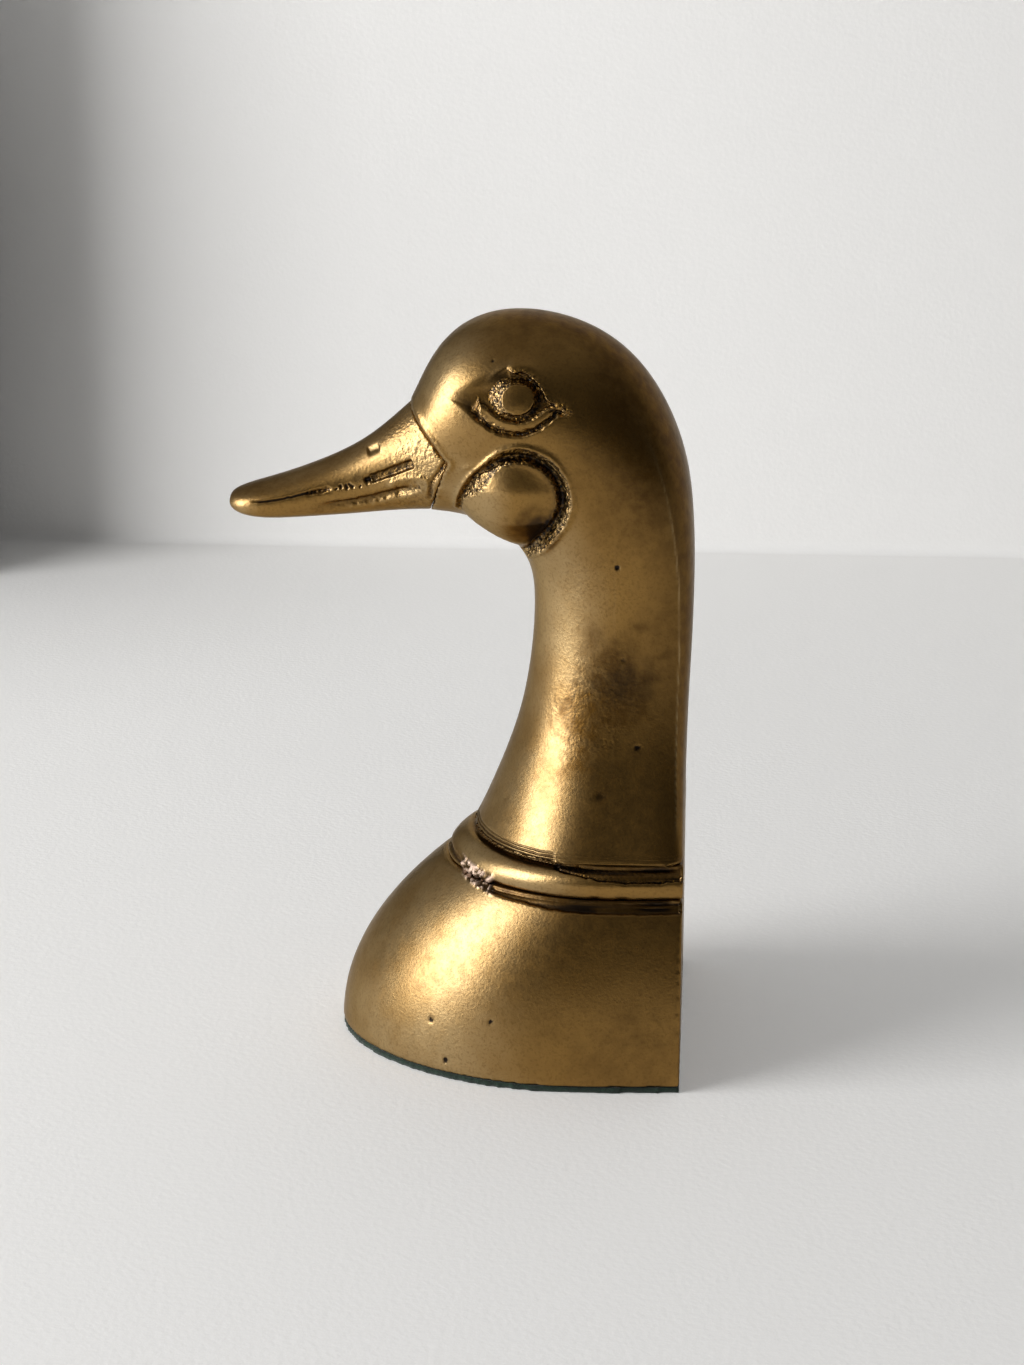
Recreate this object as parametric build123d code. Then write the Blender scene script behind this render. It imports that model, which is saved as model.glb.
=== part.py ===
from build123d import *

import os
from math import cos, pi, sin, sqrt

# Brass duck bookend. Millimetres, +Z up, the duck faces -X and its flat back is at +X.
# The origin is under the middle of the base, on the felt's lower face, and Y = 0 is the middle plane.
# The figure is made of castings brazed together at the lines that show: a hollow breast with a flat
# back wall, a rounded collar band, a hollow neck and head in two halves, and a solid bill.
# A board let into the open bottom carries the felt.

# Base and breast
BASE_LENGTH = 84.0          # breast front to flat back, at the floor
BASE_WIDTH = 86.4           # widest, across the breast at the floor
BASE_WIDEST = 0.66          # where the widest line lies, as a share of the length from the front
BACK_TUCK = 1.6             # how far the sides draw in again, from the widest line to the back
BACK_GRIND = 1.0            # metal ground off behind the casting, which leaves the back flat
FRONT_POWER = 1.9           # roundness of the front, where 2 is an ellipse
BREAST_HEIGHT = 43.5        # brass only, from the felt to the lower groove
BREAST_TOP_REACH = 58.6     # breast front to flat back, at the lower groove
BREAST_TOP_WIDTH = 69.6     # across the breast at the lower groove
BREAST_ROUND = 90.0         # upright semi-axis of the ellipse that the breast's front follows
BREAST_LEVELS = 7           # sections in the breast's loft
BREAST_EDGE = 1.2           # rounding of the breast's top edge, the lower side of the groove

# Walls and clearances
WALL = 4.2                  # brass wall of the breast, the neck and the head
RIM_WALL = 2.4              # wall left beside the rebate that holds the board
BRAZE_GAP = 0.1             # gap for filler round the spigot and the tenon
BOARD_GAP = 0.3             # slack round the board

# Felt and board
FELT_THICK = 1.5
BOARD_THICK = 3.0

# Collar band
COLLAR_HEIGHT = 7.8
COLLAR_PROUD = 1.1          # how far the band stands out beyond the line from breast to neck
COLLAR_TUCK = 0.9           # how far its top and bottom edges draw in, which opens the grooves
COLLAR_WALL = 3.6           # band's thickness outside the spigot, at its thinnest
COLLAR_LEVELS = 5
SPIGOT_DEPTH = 3.0          # how far the spigot reaches below the breast's deck
SPIGOT_WALL = 3.0

# Neck and head. Each station is a plane across the neck, from a point on the throat to a point on
# the nape or crown. Points are measured forward from the flat back and up from the collar's top.
NECK_STATIONS = (
    # throat ahead, up; nape ahead, up; half width; power of the back's corner
    ((51.5, 0.0), (0.0, 0.0), 32.8, 12.0),
    ((45.8, 12.2), (0.0, 12.2), 27.2, 9.0),
    ((41.0, 25.2), (-0.2, 25.2), 22.9, 6.5),
    ((37.8, 40.2), (-0.7, 40.2), 20.2, 5.2),
    ((36.7, 54.2), (-1.2, 55.2), 19.4, 4.4),
    ((37.6, 63.6), (-1.1, 70.2), 19.9, 3.6),
    ((41.2, 69.8), (0.3, 86.2), 21.0, 2.8),
    ((46.0, 73.6), (6.4, 104.0), 22.0, 2.3),
    ((50.4, 75.4), (19.2, 118.6), 22.5, 2.0),
    ((54.2, 76.4), (35.0, 124.4), 21.9, 2.0),
    ((57.2, 76.8), (49.6, 123.1), 19.9, 2.0),
    ((59.4, 77.0), (59.4, 115.5), 17.0, 2.1),
    ((61.2, 77.2), (65.8, 103.6), 14.2, 2.2),
)
NECK_WIDEST = 0.56          # where a section is widest, as a share from throat to nape
THROAT_POWER = 2.0          # 2 is an ellipse

# Cheek and eye, on each side of the head
CHEEK_AHEAD, CHEEK_UP, CHEEK_OUT = 39.2, 86.5, 7.0
CHEEK_RADIUS = 16.0
CHIN_DEPTH = 13.8           # from the cheek's middle to the flat under it
CHIN_SLOPE = 30.6           # degrees that the flat falls towards the throat
EYE_AHEAD, EYE_UP = 39.2, 107.8
EYE_RADIUS = 5.2            # of the round boss, where it leaves the head
EYE_PROUD = 1.6

# Bill. Its sections are upright planes, and its root fills a notch in the front of the head.
ROOT_NOTCH_AHEAD, ROOT_NOTCH_UP = 55.8, 91.8
BILL_STATIONS = (
    # ahead of the flat back; lower and upper edge above the collar's top; half width
    (53.0, 77.8, 110.0, 16.0),
    (61.0, 77.6, 106.4, 13.2),
    (67.5, 77.2, 101.4, 11.0),
    (76.0, 76.4, 94.4, 9.4),
    (85.0, 75.6, 89.5, 8.8),
    (94.0, 75.0, 85.9, 8.8),
    (102.0, 75.0, 83.3, 8.4),
    (106.6, 76.0, 81.7, 6.7),
    (108.9, 77.6, 80.3, 3.7),
)
BILL_WIDEST = 0.42          # where a bill section is widest, as a share from its lower edge
BILL_LOWER_POWER = 2.4
BILL_UPPER_POWER = 2.2
TENON_LENGTH = 16.0         # from the head's front end back into its hollow

POINTS_PER_SIDE = 21        # points on one side of a section

# Places that follow from the sizes above
BACK = BASE_LENGTH / 2
BREAST_FLOOR = FELT_THICK
BREAST_TOP = BREAST_FLOOR + BREAST_HEIGHT
COLLAR_TOP = BREAST_TOP + COLLAR_HEIGHT
SPIGOT_LENGTH = COLLAR_HEIGHT + WALL + SPIGOT_DEPTH


def from_back(ahead, up):
    """Point on the middle plane, as (x, z), from its distance ahead of the back and above the collar."""
    return BACK - ahead, COLLAR_TOP + up


def superellipse(angle, power):
    """Point of a unit superellipse's quarter in the direction of an angle, as (along, across)."""
    along, across = abs(cos(angle)), abs(sin(angle))
    radius = (along**power + across**power) ** (-1 / power)
    return radius * along, radius * across


def section_points(start, end, half_width, widest, start_power, end_power):
    """One side of a section from start to end, both (x, z) on the middle plane: two superellipse quarters."""
    points = []
    for i in range(POINTS_PER_SIDE):
        angle = pi * i / (POINTS_PER_SIDE - 1)
        before_widest = angle <= pi / 2
        along, across = superellipse(angle, start_power if before_widest else end_power)
        share = widest * (1 - along) if before_widest else widest + (1 - widest) * along
        x = start[0] + (end[0] - start[0]) * share
        z = start[1] + (end[1] - start[1]) * share
        points.append((x, -half_width * across, z))
    points[-1] = (end[0], 0, end[1])
    return points


def half_face(points):
    """Left half of a section: a smooth side curve closed along the middle plane."""
    return Face(Wire([Spline(*points), Line(points[-1], points[0])]))


def whole_face(points):
    """Whole section: the side curve and its mirror image."""
    mirrored = [(x, -y, z) for x, y, z in reversed(points)]
    return Face(Wire([Spline(*points), Spline(*mirrored)]))


def drawn_in(start, end, inset):
    """The two ends of a section, each moved towards the other by inset."""
    length = sqrt((end[0] - start[0]) ** 2 + (end[1] - start[1]) ** 2)
    step = [(e - s) / length * inset for s, e in zip(start, end)]
    return (start[0] + step[0], start[1] + step[1]), (end[0] - step[0], end[1] - step[1])


def u_face(height, front, half_width, back):
    """Level section of breast or collar: a rounded front, sides that draw in a little, a flat back."""
    widest_x = front + (back - front) * BASE_WIDEST
    steps = POINTS_PER_SIDE // 2
    left = []
    for i in range(steps + 1):
        along, across = superellipse(pi / 2 * i / steps, FRONT_POWER)
        left.append((widest_x - (widest_x - front) * along, -half_width * across, height))
    left.append((back, BACK_TUCK - half_width, height))
    right = [(x, -y, z) for x, y, z in reversed(left)]
    return Face(Wire([Spline(*left), Line(left[-1], right[0]), Spline(*right)]))


def breast_front(height):
    """X of the breast's front at a height above the felt: an elliptical arc, upright at the floor."""
    lean = 1 - sqrt(1 - (height / BREAST_ROUND) ** 2)
    full_lean = 1 - sqrt(1 - (BREAST_HEIGHT / BREAST_ROUND) ** 2)
    return BACK - BASE_LENGTH + (BASE_LENGTH - BREAST_TOP_REACH) * lean / full_lean


def breast_half_width(height):
    """Half the breast's width at a height above the felt: a parabola from floor to groove."""
    return (BASE_WIDTH - (BASE_WIDTH - BREAST_TOP_WIDTH) * (height / BREAST_HEIGHT) ** 2) / 2


def breast_face(height, inset=0):
    """Level section of the breast at a height above the felt, drawn in on all sides by inset."""
    front = breast_front(height) + inset
    back = BACK - inset if inset else BACK + BACK_GRIND
    return u_face(BREAST_FLOOR + height, front, breast_half_width(height) - inset, back)


def ground_flat(solid):
    """The solid without what lies behind the plane of the flat back."""
    return split(solid, bisect_by=Plane(origin=(BACK, 0, 0), z_dir=(1, 0, 0)), keep=Keep.BOTTOM)


def neck_ends(station):
    """Throat and nape points of a station, as (x, z)."""
    throat, nape, _, _ = station
    return from_back(*throat), from_back(*nape)


def neck_points(station, inset=0):
    """One side of a neck station's section, drawn in by inset."""
    _, _, half_width, back_power = station
    throat, nape = drawn_in(*neck_ends(station), inset)
    return section_points(throat, nape, half_width - inset, NECK_WIDEST, THROAT_POWER, back_power)


def spigot_face(inset):
    """Left half of the spigot's outline at the collar's top, drawn in by inset."""
    return half_face(neck_points(NECK_STATIONS[0], COLLAR_WALL + inset))


def make_felt_pad():
    """Felt, cut to the outline of the base."""
    return ground_flat(extrude(breast_face(0), amount=FELT_THICK, dir=(0, 0, -1)))


def make_base_board():
    """Board that fills the rebate in the base, flush with the brass."""
    return extrude(breast_face(0, RIM_WALL + BOARD_GAP), amount=BOARD_THICK, dir=(0, 0, 1))


def make_breast_casting():
    """Hollow breast: flat back wall, a deck on top with a hole for the spigot, and a rebate below."""
    levels = [BREAST_HEIGHT * i / (BREAST_LEVELS - 1) for i in range(BREAST_LEVELS)]
    outer = ground_flat(loft([breast_face(h) for h in levels]))
    top_edges = outer.faces().sort_by(Axis.Z)[-1].edges()
    outer = fillet(top_edges.sort_by(Axis.X)[:-1], BREAST_EDGE)
    ceiling = BREAST_HEIGHT - WALL
    cavity_levels = [ceiling * i / (BREAST_LEVELS - 1) for i in range(BREAST_LEVELS)]
    cavity = loft([breast_face(h, WALL) for h in cavity_levels])
    rebate = extrude(breast_face(0, RIM_WALL), amount=BOARD_THICK, dir=(0, 0, 1))
    hole = make_spigot(-BRAZE_GAP)
    return outer - cavity - rebate - hole


def make_spigot(inset):
    """Plug of the whole spigot's outline, from below the breast's deck to the collar's top."""
    left = extrude(spigot_face(inset), amount=SPIGOT_LENGTH, dir=(0, 0, -1))
    return left + mirror(left, Plane.XZ)


def collar_face(share):
    """Level section of the band at a share of its height, bulged between two drawn-in edges."""
    bulge = (COLLAR_PROUD + COLLAR_TUCK) * sin(pi * share) - COLLAR_TUCK
    top_front, _ = neck_ends(NECK_STATIONS[0])
    low_front, low_half = BACK - BREAST_TOP_REACH, BREAST_TOP_WIDTH / 2
    front = low_front + (top_front[0] - low_front) * share - bulge
    half_width = low_half + (NECK_STATIONS[0][2] - low_half) * share + bulge
    return u_face(BREAST_TOP + COLLAR_HEIGHT * share, front, half_width, BACK + BACK_GRIND)


def make_collar_ring():
    """Rounded band round the spigot, between the breast's deck and the neck's shoulder."""
    shares = [i / (COLLAR_LEVELS - 1) for i in range(COLLAR_LEVELS)]
    return ground_flat(loft([collar_face(s) for s in shares])) - make_spigot(-BRAZE_GAP)


def make_root_space():
    """Everything ahead of the head's front end: a side view with the notch in it, pushed out to both sides."""
    crown_end = neck_ends(NECK_STATIONS[-1])[1]
    throat_end = neck_ends(NECK_STATIONS[-1])[0]
    notch = from_back(ROOT_NOTCH_AHEAD, ROOT_NOTCH_UP)
    above = (crown_end[0], crown_end[1] + WALL)
    below = (throat_end[0], throat_end[1] - WALL)
    far_ahead = BACK - BILL_STATIONS[-1][0] - WALL
    corners = [above, crown_end, notch, throat_end, below, (far_ahead, below[1]), (far_ahead, above[1])]
    side_view = Polyline(*[(x, 0, z) for x, z in corners], close=True)
    return extrude(Face(Wire(side_view)), amount=BASE_WIDTH / 2, both=True)


def make_cheek():
    """Round cheek on the left side of the head, filed flat under the chin."""
    x, z = from_back(CHEEK_AHEAD, CHEEK_UP)
    slope = CHIN_SLOPE * pi / 180
    down = Vector(-sin(slope), 0, -cos(slope))
    middle = Vector(x, -CHEEK_OUT, z)
    flat = Plane(origin=middle + down * CHIN_DEPTH, z_dir=down)
    return split(Pos(middle) * Sphere(CHEEK_RADIUS), bisect_by=flat, keep=Keep.BOTTOM)


def make_eye(outer):
    """Round eye boss on the left side, a cap of a sphere that stands out of the head."""
    x, z = from_back(EYE_AHEAD, EYE_UP)
    ray = Axis((x, 0, z), (0, -1, 0))
    surface_y = min(point.Y for point, _ in outer.find_intersection_points(ray))
    radius = (EYE_RADIUS**2 + EYE_PROUD**2) / (2 * EYE_PROUD)
    return Pos(x, surface_y - EYE_PROUD + radius, z) * Sphere(radius)


def make_neck_left_half(root_space):
    """Left half of the hollow neck and head, with its half of the spigot."""
    outer = loft([half_face(neck_points(s)) for s in NECK_STATIONS])
    bosses = split(make_cheek() + make_eye(outer), bisect_by=Plane.XZ, keep=Keep.TOP)
    spigot = extrude(spigot_face(0), amount=SPIGOT_LENGTH, dir=(0, 0, -1))
    bore = extrude(spigot_face(SPIGOT_WALL), amount=SPIGOT_LENGTH, dir=(0, 0, -1))
    cavity = loft([half_face(neck_points(s, WALL)) for s in NECK_STATIONS])
    return outer + bosses + spigot - cavity - bore - root_space


def bill_points(station):
    """One side of a bill section."""
    ahead, low, high, half_width = station
    start, end = from_back(ahead, low), from_back(ahead, high)
    return section_points(start, end, half_width, BILL_WIDEST, BILL_LOWER_POWER, BILL_UPPER_POWER)


def make_bill_casting(root_space):
    """Solid bill with a straight tenon that plugs the open front of the head."""
    bill = loft([whole_face(bill_points(s)) for s in BILL_STATIONS]) & root_space
    mouth = whole_face(neck_points(NECK_STATIONS[-1], WALL + BRAZE_GAP))
    return bill + extrude(mouth, amount=TENON_LENGTH, dir=(1, 0, 0))


def main():
    """Builds every piece and writes one file each."""
    root_space = make_root_space()
    left = make_neck_left_half(root_space)
    pieces = {
        "felt_pad": make_felt_pad(),
        "base_board": make_base_board(),
        "breast_casting": make_breast_casting(),
        "collar_ring": make_collar_ring(),
        "neck_left_half": left,
        "neck_right_half": mirror(left, Plane.XZ),
        "bill_casting": make_bill_casting(root_space),
    }
    os.makedirs("parts", exist_ok=True)
    for name, piece in pieces.items():
        export_step(piece, f"parts/{name}.step")
        print(name, "volume", round(piece.volume), "solids", len(piece.solids()))


if __name__ == "__main__":
    main()
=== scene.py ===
"""Brass duck bookend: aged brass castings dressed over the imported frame, with felt under the base.

The duck faces -X, its flat back is a plane of constant X, and Z is up. Shapes are worked in
millimetres on copies of the solids, because the lines on them were measured so, and stored in metres.
"""

import itertools
import logging
import math
from dataclasses import dataclass, field
from enum import Enum

import bmesh
import bpy
import numpy as np
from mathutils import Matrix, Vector


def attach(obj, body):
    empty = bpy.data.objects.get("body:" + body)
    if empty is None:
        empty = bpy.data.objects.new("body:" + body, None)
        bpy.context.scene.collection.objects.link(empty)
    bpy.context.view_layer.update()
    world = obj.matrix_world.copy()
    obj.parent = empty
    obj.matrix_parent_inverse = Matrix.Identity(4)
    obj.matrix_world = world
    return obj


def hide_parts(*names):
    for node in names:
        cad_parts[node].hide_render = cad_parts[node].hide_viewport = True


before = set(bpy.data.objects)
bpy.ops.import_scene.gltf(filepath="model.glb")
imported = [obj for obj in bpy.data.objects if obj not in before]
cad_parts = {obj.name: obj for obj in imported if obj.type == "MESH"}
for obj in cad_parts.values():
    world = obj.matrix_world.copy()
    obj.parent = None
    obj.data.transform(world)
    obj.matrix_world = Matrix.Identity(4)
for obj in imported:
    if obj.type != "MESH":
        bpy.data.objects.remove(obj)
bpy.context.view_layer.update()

MM = 0.001
MERGE = 0.001  # mm, points nearer than this are one point
BODY = "root"
LATTICE_PRIMES = np.array((73856093, 19349663, 83492791), np.int64)
SEED_PRIME = 6971
HASH_ROUNDS = ((15, 2246822519), (13, 3266489917))  # a shift and a factor each
WORD = 0xFFFFFFFF
DRIFT_CELL = 0.9  # mm, how quickly a hand-cut line wanders
DRIFT_SEEDS = (91, 92)
COLLAR_SEED = 11  # shared by the castings that meet at the collar, so that its lines run across them

Path2D = tuple[tuple[float, float], ...]
log = logging.getLogger("duck")


class Layer(Enum):
    """Masks on a casting's points, which its finish reads."""

    RECESS = "recess"  # grime that polishing never reached, and painted shade in some hollows of the eyes and cheeks
    TARNISH = "tarnish"  # brown patina, and painted shade and reflection behind the cheeks' rings and on the nape's strips
    GRAIN = "grain"  # coarse skin left by the sand mould
    FILLER = "filler"  # pale brazing flux that was never cleaned off
    PAINTED_HIGHLIGHT = "painted_highlight"  # painted highlight: a paler tone on the side that faces the window, and along the nape's corners


class Side(Enum):
    """The duck's own sides, with the sign of Y on each."""

    LEFT = -1
    RIGHT = 1


def linear(code: str) -> tuple[float, float, float, float]:
    """Turn an sRGB hex colour into linear light.

    Args:
        code: six hex digits with a leading hash.

    Returns:
        Red, green, blue and an alpha of 1.
    """
    shares = (int(code[i : i + 2], 16) / 255 for i in (1, 3, 5))
    channels = [s / 12.92 if s <= 0.04045 else ((s + 0.055) / 1.055) ** 2.4 for s in shares]
    return (*channels, 1.0)


def fill_inputs(node: bpy.types.Node, inputs: dict[str | int, object]) -> None:
    """Set a node's inputs.

    Args:
        node: the node.
        inputs: plain values, or sockets that feed the inputs, by name or number.
    """
    for key, value in inputs.items():
        if isinstance(value, bpy.types.NodeSocket):
            node.id_data.links.new(value, node.inputs[key])
        else:
            node.inputs[key].default_value = value


def add_node(
    tree: bpy.types.NodeTree, kind: str, inputs: dict[str | int, object] | None = None, **settings: object
) -> bpy.types.Node:
    """Add one shader node.

    Args:
        tree: tree that the node goes in.
        kind: the node's type, without the word that all of them start with.
        inputs: plain values, or sockets that feed the inputs, by name or number.
        settings: the node's properties.

    Returns:
        The new node.
    """
    node = tree.nodes.new(f"ShaderNode{kind}")
    for key, value in settings.items():
        setattr(node, key, value)
    fill_inputs(node, inputs or {})
    return node


def start_material(name: str) -> tuple[bpy.types.Material, bpy.types.NodeTree, bpy.types.Node]:
    """Start a finish.

    Args:
        name: the material's common name.

    Returns:
        The material, its tree and its Principled shader.
    """
    made = bpy.data.materials.new(name)
    made.use_nodes = True
    return made, made.node_tree, made.node_tree.nodes["Principled BSDF"]


def ease(low: float, high: float, values: np.ndarray) -> np.ndarray:
    """Rise smoothly from 0 at low to 1 at high; low may be the larger."""
    share = np.clip((values - low) / (high - low), 0.0, 1.0)
    return share * share * (3.0 - 2.0 * share)


def bell(values: np.ndarray, half: float | np.ndarray) -> np.ndarray:
    """Give 1 at 0, falling off to both sides over about a half width."""
    return np.exp(-((values / half) ** 2))


def cast_noise(points: np.ndarray, cell: float, seed: int) -> np.ndarray:
    """Give smooth random values on a lattice of cubes.

    Args:
        points: places, one row each.
        cell: size of a cube, in the points' units.
        seed: picks one pattern.

    Returns:
        One value from -1 to 1 for each point.
    """
    grid = points / cell
    base = np.floor(grid).astype(np.int64)
    part = grid - base
    part = part * part * (3.0 - 2.0 * part)
    total = np.zeros(len(points))
    for corner in itertools.product((0, 1), repeat=3):
        key = ((base + corner) * LATTICE_PRIMES).sum(axis=1) + seed * SEED_PRIME
        for shift, factor in HASH_ROUNDS:
            key = ((key ^ (key >> shift)) * factor) & WORD
        weight = np.prod(np.where(corner, part, 1.0 - part), axis=1)
        total += weight * (key / (WORD >> 1) - 1.0)
    return total


def rounded(path: Path2D, steps: int = 6) -> np.ndarray:
    """Draw a smooth curve through some points.

    Args:
        path: the points.
        steps: points on the curve for each stretch between two of them.

    Returns:
        The curve's points, one row each.
    """
    knots = np.array(path)
    padded = np.vstack((2 * knots[0] - knots[1], knots, 2 * knots[-1] - knots[-2]))
    share = np.linspace(0.0, 1.0, steps, endpoint=False)[:, None]
    runs = []
    for a, b, c, d in zip(padded, padded[1:], padded[2:], padded[3:]):
        bend = 2 * a - 5 * b + 4 * c - d
        runs.append(b + 0.5 * share * (c - a + share * (bend + share * (3 * (b - c) + d - a))))
    return np.vstack((*runs, knots[-1]))


def along_curve(places: np.ndarray, curve: np.ndarray) -> tuple[np.ndarray, np.ndarray, float]:
    """Measure places against a curve.

    Args:
        places: points of the plane, one row each.
        curve: points of the curve, one row each.

    Returns:
        Each place's distance from the curve, negative on its left, how far along the curve its
        nearest point is, and the curve's length.
    """
    nearest = np.full(len(places), np.inf)
    signed, travel = np.zeros((2, len(places)))
    done = 0.0
    for start, end in zip(curve, curve[1:]):
        step, offset = end - start, places - start
        length = math.hypot(*step)
        share = np.clip(offset @ step / length**2, 0.0, 1.0)
        gap = np.linalg.norm(offset - share[:, None] * step, axis=1)
        nearer = gap < nearest
        nearest[nearer] = gap[nearer]
        turn = offset[nearer, 0] * step[1] - offset[nearer, 1] * step[0]
        signed[nearer] = np.copysign(gap[nearer], turn)
        travel[nearer] = done + share[nearer] * length
        done += length
    return signed, travel, done


def beside_curve(places: np.ndarray, path: Path2D, reach: float) -> np.ndarray:
    """Measure how far places lie to the right of a smooth curve.

    Args:
        places: points of the plane, one row each.
        path: points that the curve passes through.
        reach: length by which the curve runs on, straight, past each end.

    Returns:
        Each place's distance from the curve, negative on its left.
    """
    curve = rounded(path)
    runs = np.array((curve[0] - curve[1], curve[-1] - curve[-2]))
    runs *= reach / np.linalg.norm(runs, axis=1)[:, None]
    return along_curve(places, np.vstack((curve[0] + runs[0], curve, curve[-1] + runs[1])))[0]


def within(places: np.ndarray, outline: np.ndarray) -> np.ndarray:
    """Tell which places lie inside a closed outline.

    Args:
        places: points of the plane, one row each.
        outline: corners in order, one row each.

    Returns:
        True for each place inside.
    """
    x, z = places.T
    inside = np.zeros(len(places), bool)
    for (x1, z1), (x2, z2) in zip(outline, np.roll(outline, -1, axis=0)):
        if z1 != z2:
            inside ^= ((z1 > z) != (z2 > z)) & (x < (x2 - x1) * (z - z1) / (z2 - z1) + x1)
    return inside


class Clay:
    """A closed mesh that is being worked, with its points in millimetres."""

    facing_in: float = -0.1  # a normal's share towards the middle plane, on the walls of the hollow
    bump_cells: tuple[float, float] = (0.5, 0.3)  # mm, large and small bumps of the mould's skin
    small_bumps: float = 0.7  # height of the small ones against the large
    bump_height: float = 0.13  # mm
    wave_cell: float = 11.0  # mm, between the hollows that a file leaves
    wave_depth: float = 0.07  # mm
    spared: int = 2  # rings of points beside a sharp edge that smoothing leaves

    def __init__(self, nodes: tuple[str, ...], voxel: float) -> None:
        """Lay one even skin over copies of some solids.

        Args:
            nodes: names of the solids; where there are two, they meet on the middle plane.
            voxel: size of the skin's faces, in mm.
        """
        bm = bmesh.new()
        for node in nodes:
            bm.from_mesh(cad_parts[node].data)
        if len(nodes) > 1:
            seam = [f for f in bm.faces if all(abs(v.co.y) < MERGE * MM for v in f.verts)]
            bmesh.ops.delete(bm, geom=seam, context="FACES")
        bmesh.ops.remove_doubles(bm, verts=bm.verts, dist=MERGE * MM)
        self.mesh = bpy.data.meshes.new("clay")
        bm.to_mesh(self.mesh)
        bm.free()
        self._modify("REMESH", mode="VOXEL", voxel_size=voxel * MM)

    def _modify(self, kind: str, mask: np.ndarray | None = None, **settings: object) -> None:
        """Run one modifier over the mesh and keep the result.

        Args:
            kind: the modifier's type.
            mask: true for the points that it may move, or None for all of them.
            settings: the modifier's properties.
        """
        worked = bpy.data.objects.new("clay", self.mesh)
        bpy.context.scene.collection.objects.link(worked)
        modifier = worked.modifiers.new("work", kind)
        for key, value in settings.items():
            setattr(modifier, key, value)
        if mask is not None:
            group = worked.vertex_groups.new(name="mask")
            group.add(np.flatnonzero(mask).tolist(), 1.0, "REPLACE")
            modifier.vertex_group = group.name
        graph = bpy.context.evaluated_depsgraph_get()
        result = bpy.data.meshes.new_from_object(worked.evaluated_get(graph))
        old = self.mesh
        bpy.data.objects.remove(worked)
        bpy.data.meshes.remove(old)
        self.mesh = result
        self._read()

    def _read(self) -> None:
        """Fetch the points and normals, and start clean layers if the points have changed."""
        count = len(self.mesh.vertices)
        flat = np.empty(count * 3, np.float32)
        self.mesh.vertices.foreach_get("co", flat)
        self.points = flat.reshape(-1, 3).astype(float) / MM
        self.mesh.vertex_normals.foreach_get("vector", flat)
        self.normals = flat.reshape(-1, 3).astype(float)
        if not hasattr(self, "layers") or len(self.layers[Layer.GRAIN]) != count:
            self.layers = {layer: np.zeros(count) for layer in Layer}

    def place(self, points: np.ndarray) -> None:
        """Move the mesh's points.

        Args:
            points: their new places in mm, one row each.
        """
        self.mesh.vertices.foreach_set("co", (points * MM).astype(np.float32).ravel())
        self.mesh.update()
        self._read()

    def push(self, offset: np.ndarray) -> None:
        """Move each point along its normal by an offset in mm, outwards where positive."""
        self.place(self.points + self.normals * offset[:, None])

    def smooth(self, mask: np.ndarray | None, times: int) -> None:
        """Even out the points that a mask names, or all of them, a number of times."""
        self._modify("SMOOTH", mask, factor=0.5, iterations=times)

    def refine(self, mask: np.ndarray) -> None:
        """Quarter some of the faces.

        Args:
            mask: true for each point; a face is quartered where all of its points are.
        """
        bm = bmesh.new()
        bm.from_mesh(self.mesh)
        faces = [f for f in bm.faces if all(mask[v.index] for v in f.verts)]
        edges = list({e for f in faces for e in f.edges})
        bmesh.ops.subdivide_edges(bm, edges=edges, cuts=1, use_grid_fill=True)
        bm.to_mesh(self.mesh)
        bm.free()
        self.mesh.update()
        self._read()

    def thin_inside(self, kept: float) -> None:
        """Merge faces on the hollow's walls, which nothing shows.

        Args:
            kept: share of those faces that is left, about.
        """
        inside = np.sign(self.points[:, 1]) * self.normals[:, 1] < self.facing_in
        ratio = 1.0 - (1.0 - kept) * float(inside.mean())
        self._modify("DECIMATE", inside, ratio=ratio, vertex_group_factor=10.0)

    def crisp(self, degrees: float, rings: int) -> np.ndarray:
        """Find the points on and beside sharp edges.

        Args:
            degrees: least angle between two faces that makes their edge sharp.
            rings: how many edges away from a sharp one a point still counts.

        Returns:
            True for each such point.
        """
        ends = np.empty(len(self.mesh.edges) * 2, np.int32)
        self.mesh.edges.foreach_get("vertices", ends)
        ends = ends.reshape(-1, 2)
        turn = np.einsum("ij,ij->i", self.normals[ends[:, 0]], self.normals[ends[:, 1]])
        found = np.zeros(len(self.points), bool)
        found[ends[turn < math.cos(math.radians(degrees))].ravel()] = True
        for _ in range(rings):
            touched = ends[found[ends].any(axis=1)]
            found[touched.ravel()] = True
        return found

    def even_out(self, sharp: float, times: int, after: int) -> None:
        """Smooth away the steps of the skin.

        Args:
            sharp: least angle of an edge that is spared, in degrees.
            times: rounds of smoothing away from such edges.
            after: rounds over everything, the edges too.
        """
        self.smooth(~self.crisp(sharp, self.spared), times)
        self.smooth(None, after)

    def outward(self) -> np.ndarray:
        """Give 1 on the flanks that face away from the middle plane and 0 inside or on top."""
        return ease(0.05, 0.4, np.sign(self.points[:, 1]) * self.normals[:, 1])

    def side_view(self) -> np.ndarray:
        """Give the points as the side view shows them, in X and Z."""
        return self.points[:, [0, 2]]

    def raise_layer(self, layer: Layer, values: np.ndarray) -> None:
        """Bring a layer up to some values where it lies below them."""
        self.layers[layer] = np.clip(np.maximum(self.layers[layer], values), 0.0, 1.0)

    def weather(self, seed: int) -> None:
        """Leave the unevenness of a hand-finished casting on the outside.

        Args:
            seed: picks one pattern.
        """
        large, small = (cast_noise(self.points, cell, seed + i) for i, cell in enumerate(self.bump_cells))
        waves = 0.5 + 0.5 * cast_noise(self.points, self.wave_cell, seed + 2)
        # Painted highlight: points that face the window, towards -X, take the paler tone.
        self.raise_layer(Layer.PAINTED_HIGHLIGHT, ease(0.0, -0.5, self.normals[:, 0]))
        bumps = self.bump_height * (large + self.small_bumps * small)
        self.push(bumps * self.layers[Layer.GRAIN] - self.wave_depth * waves)

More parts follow.
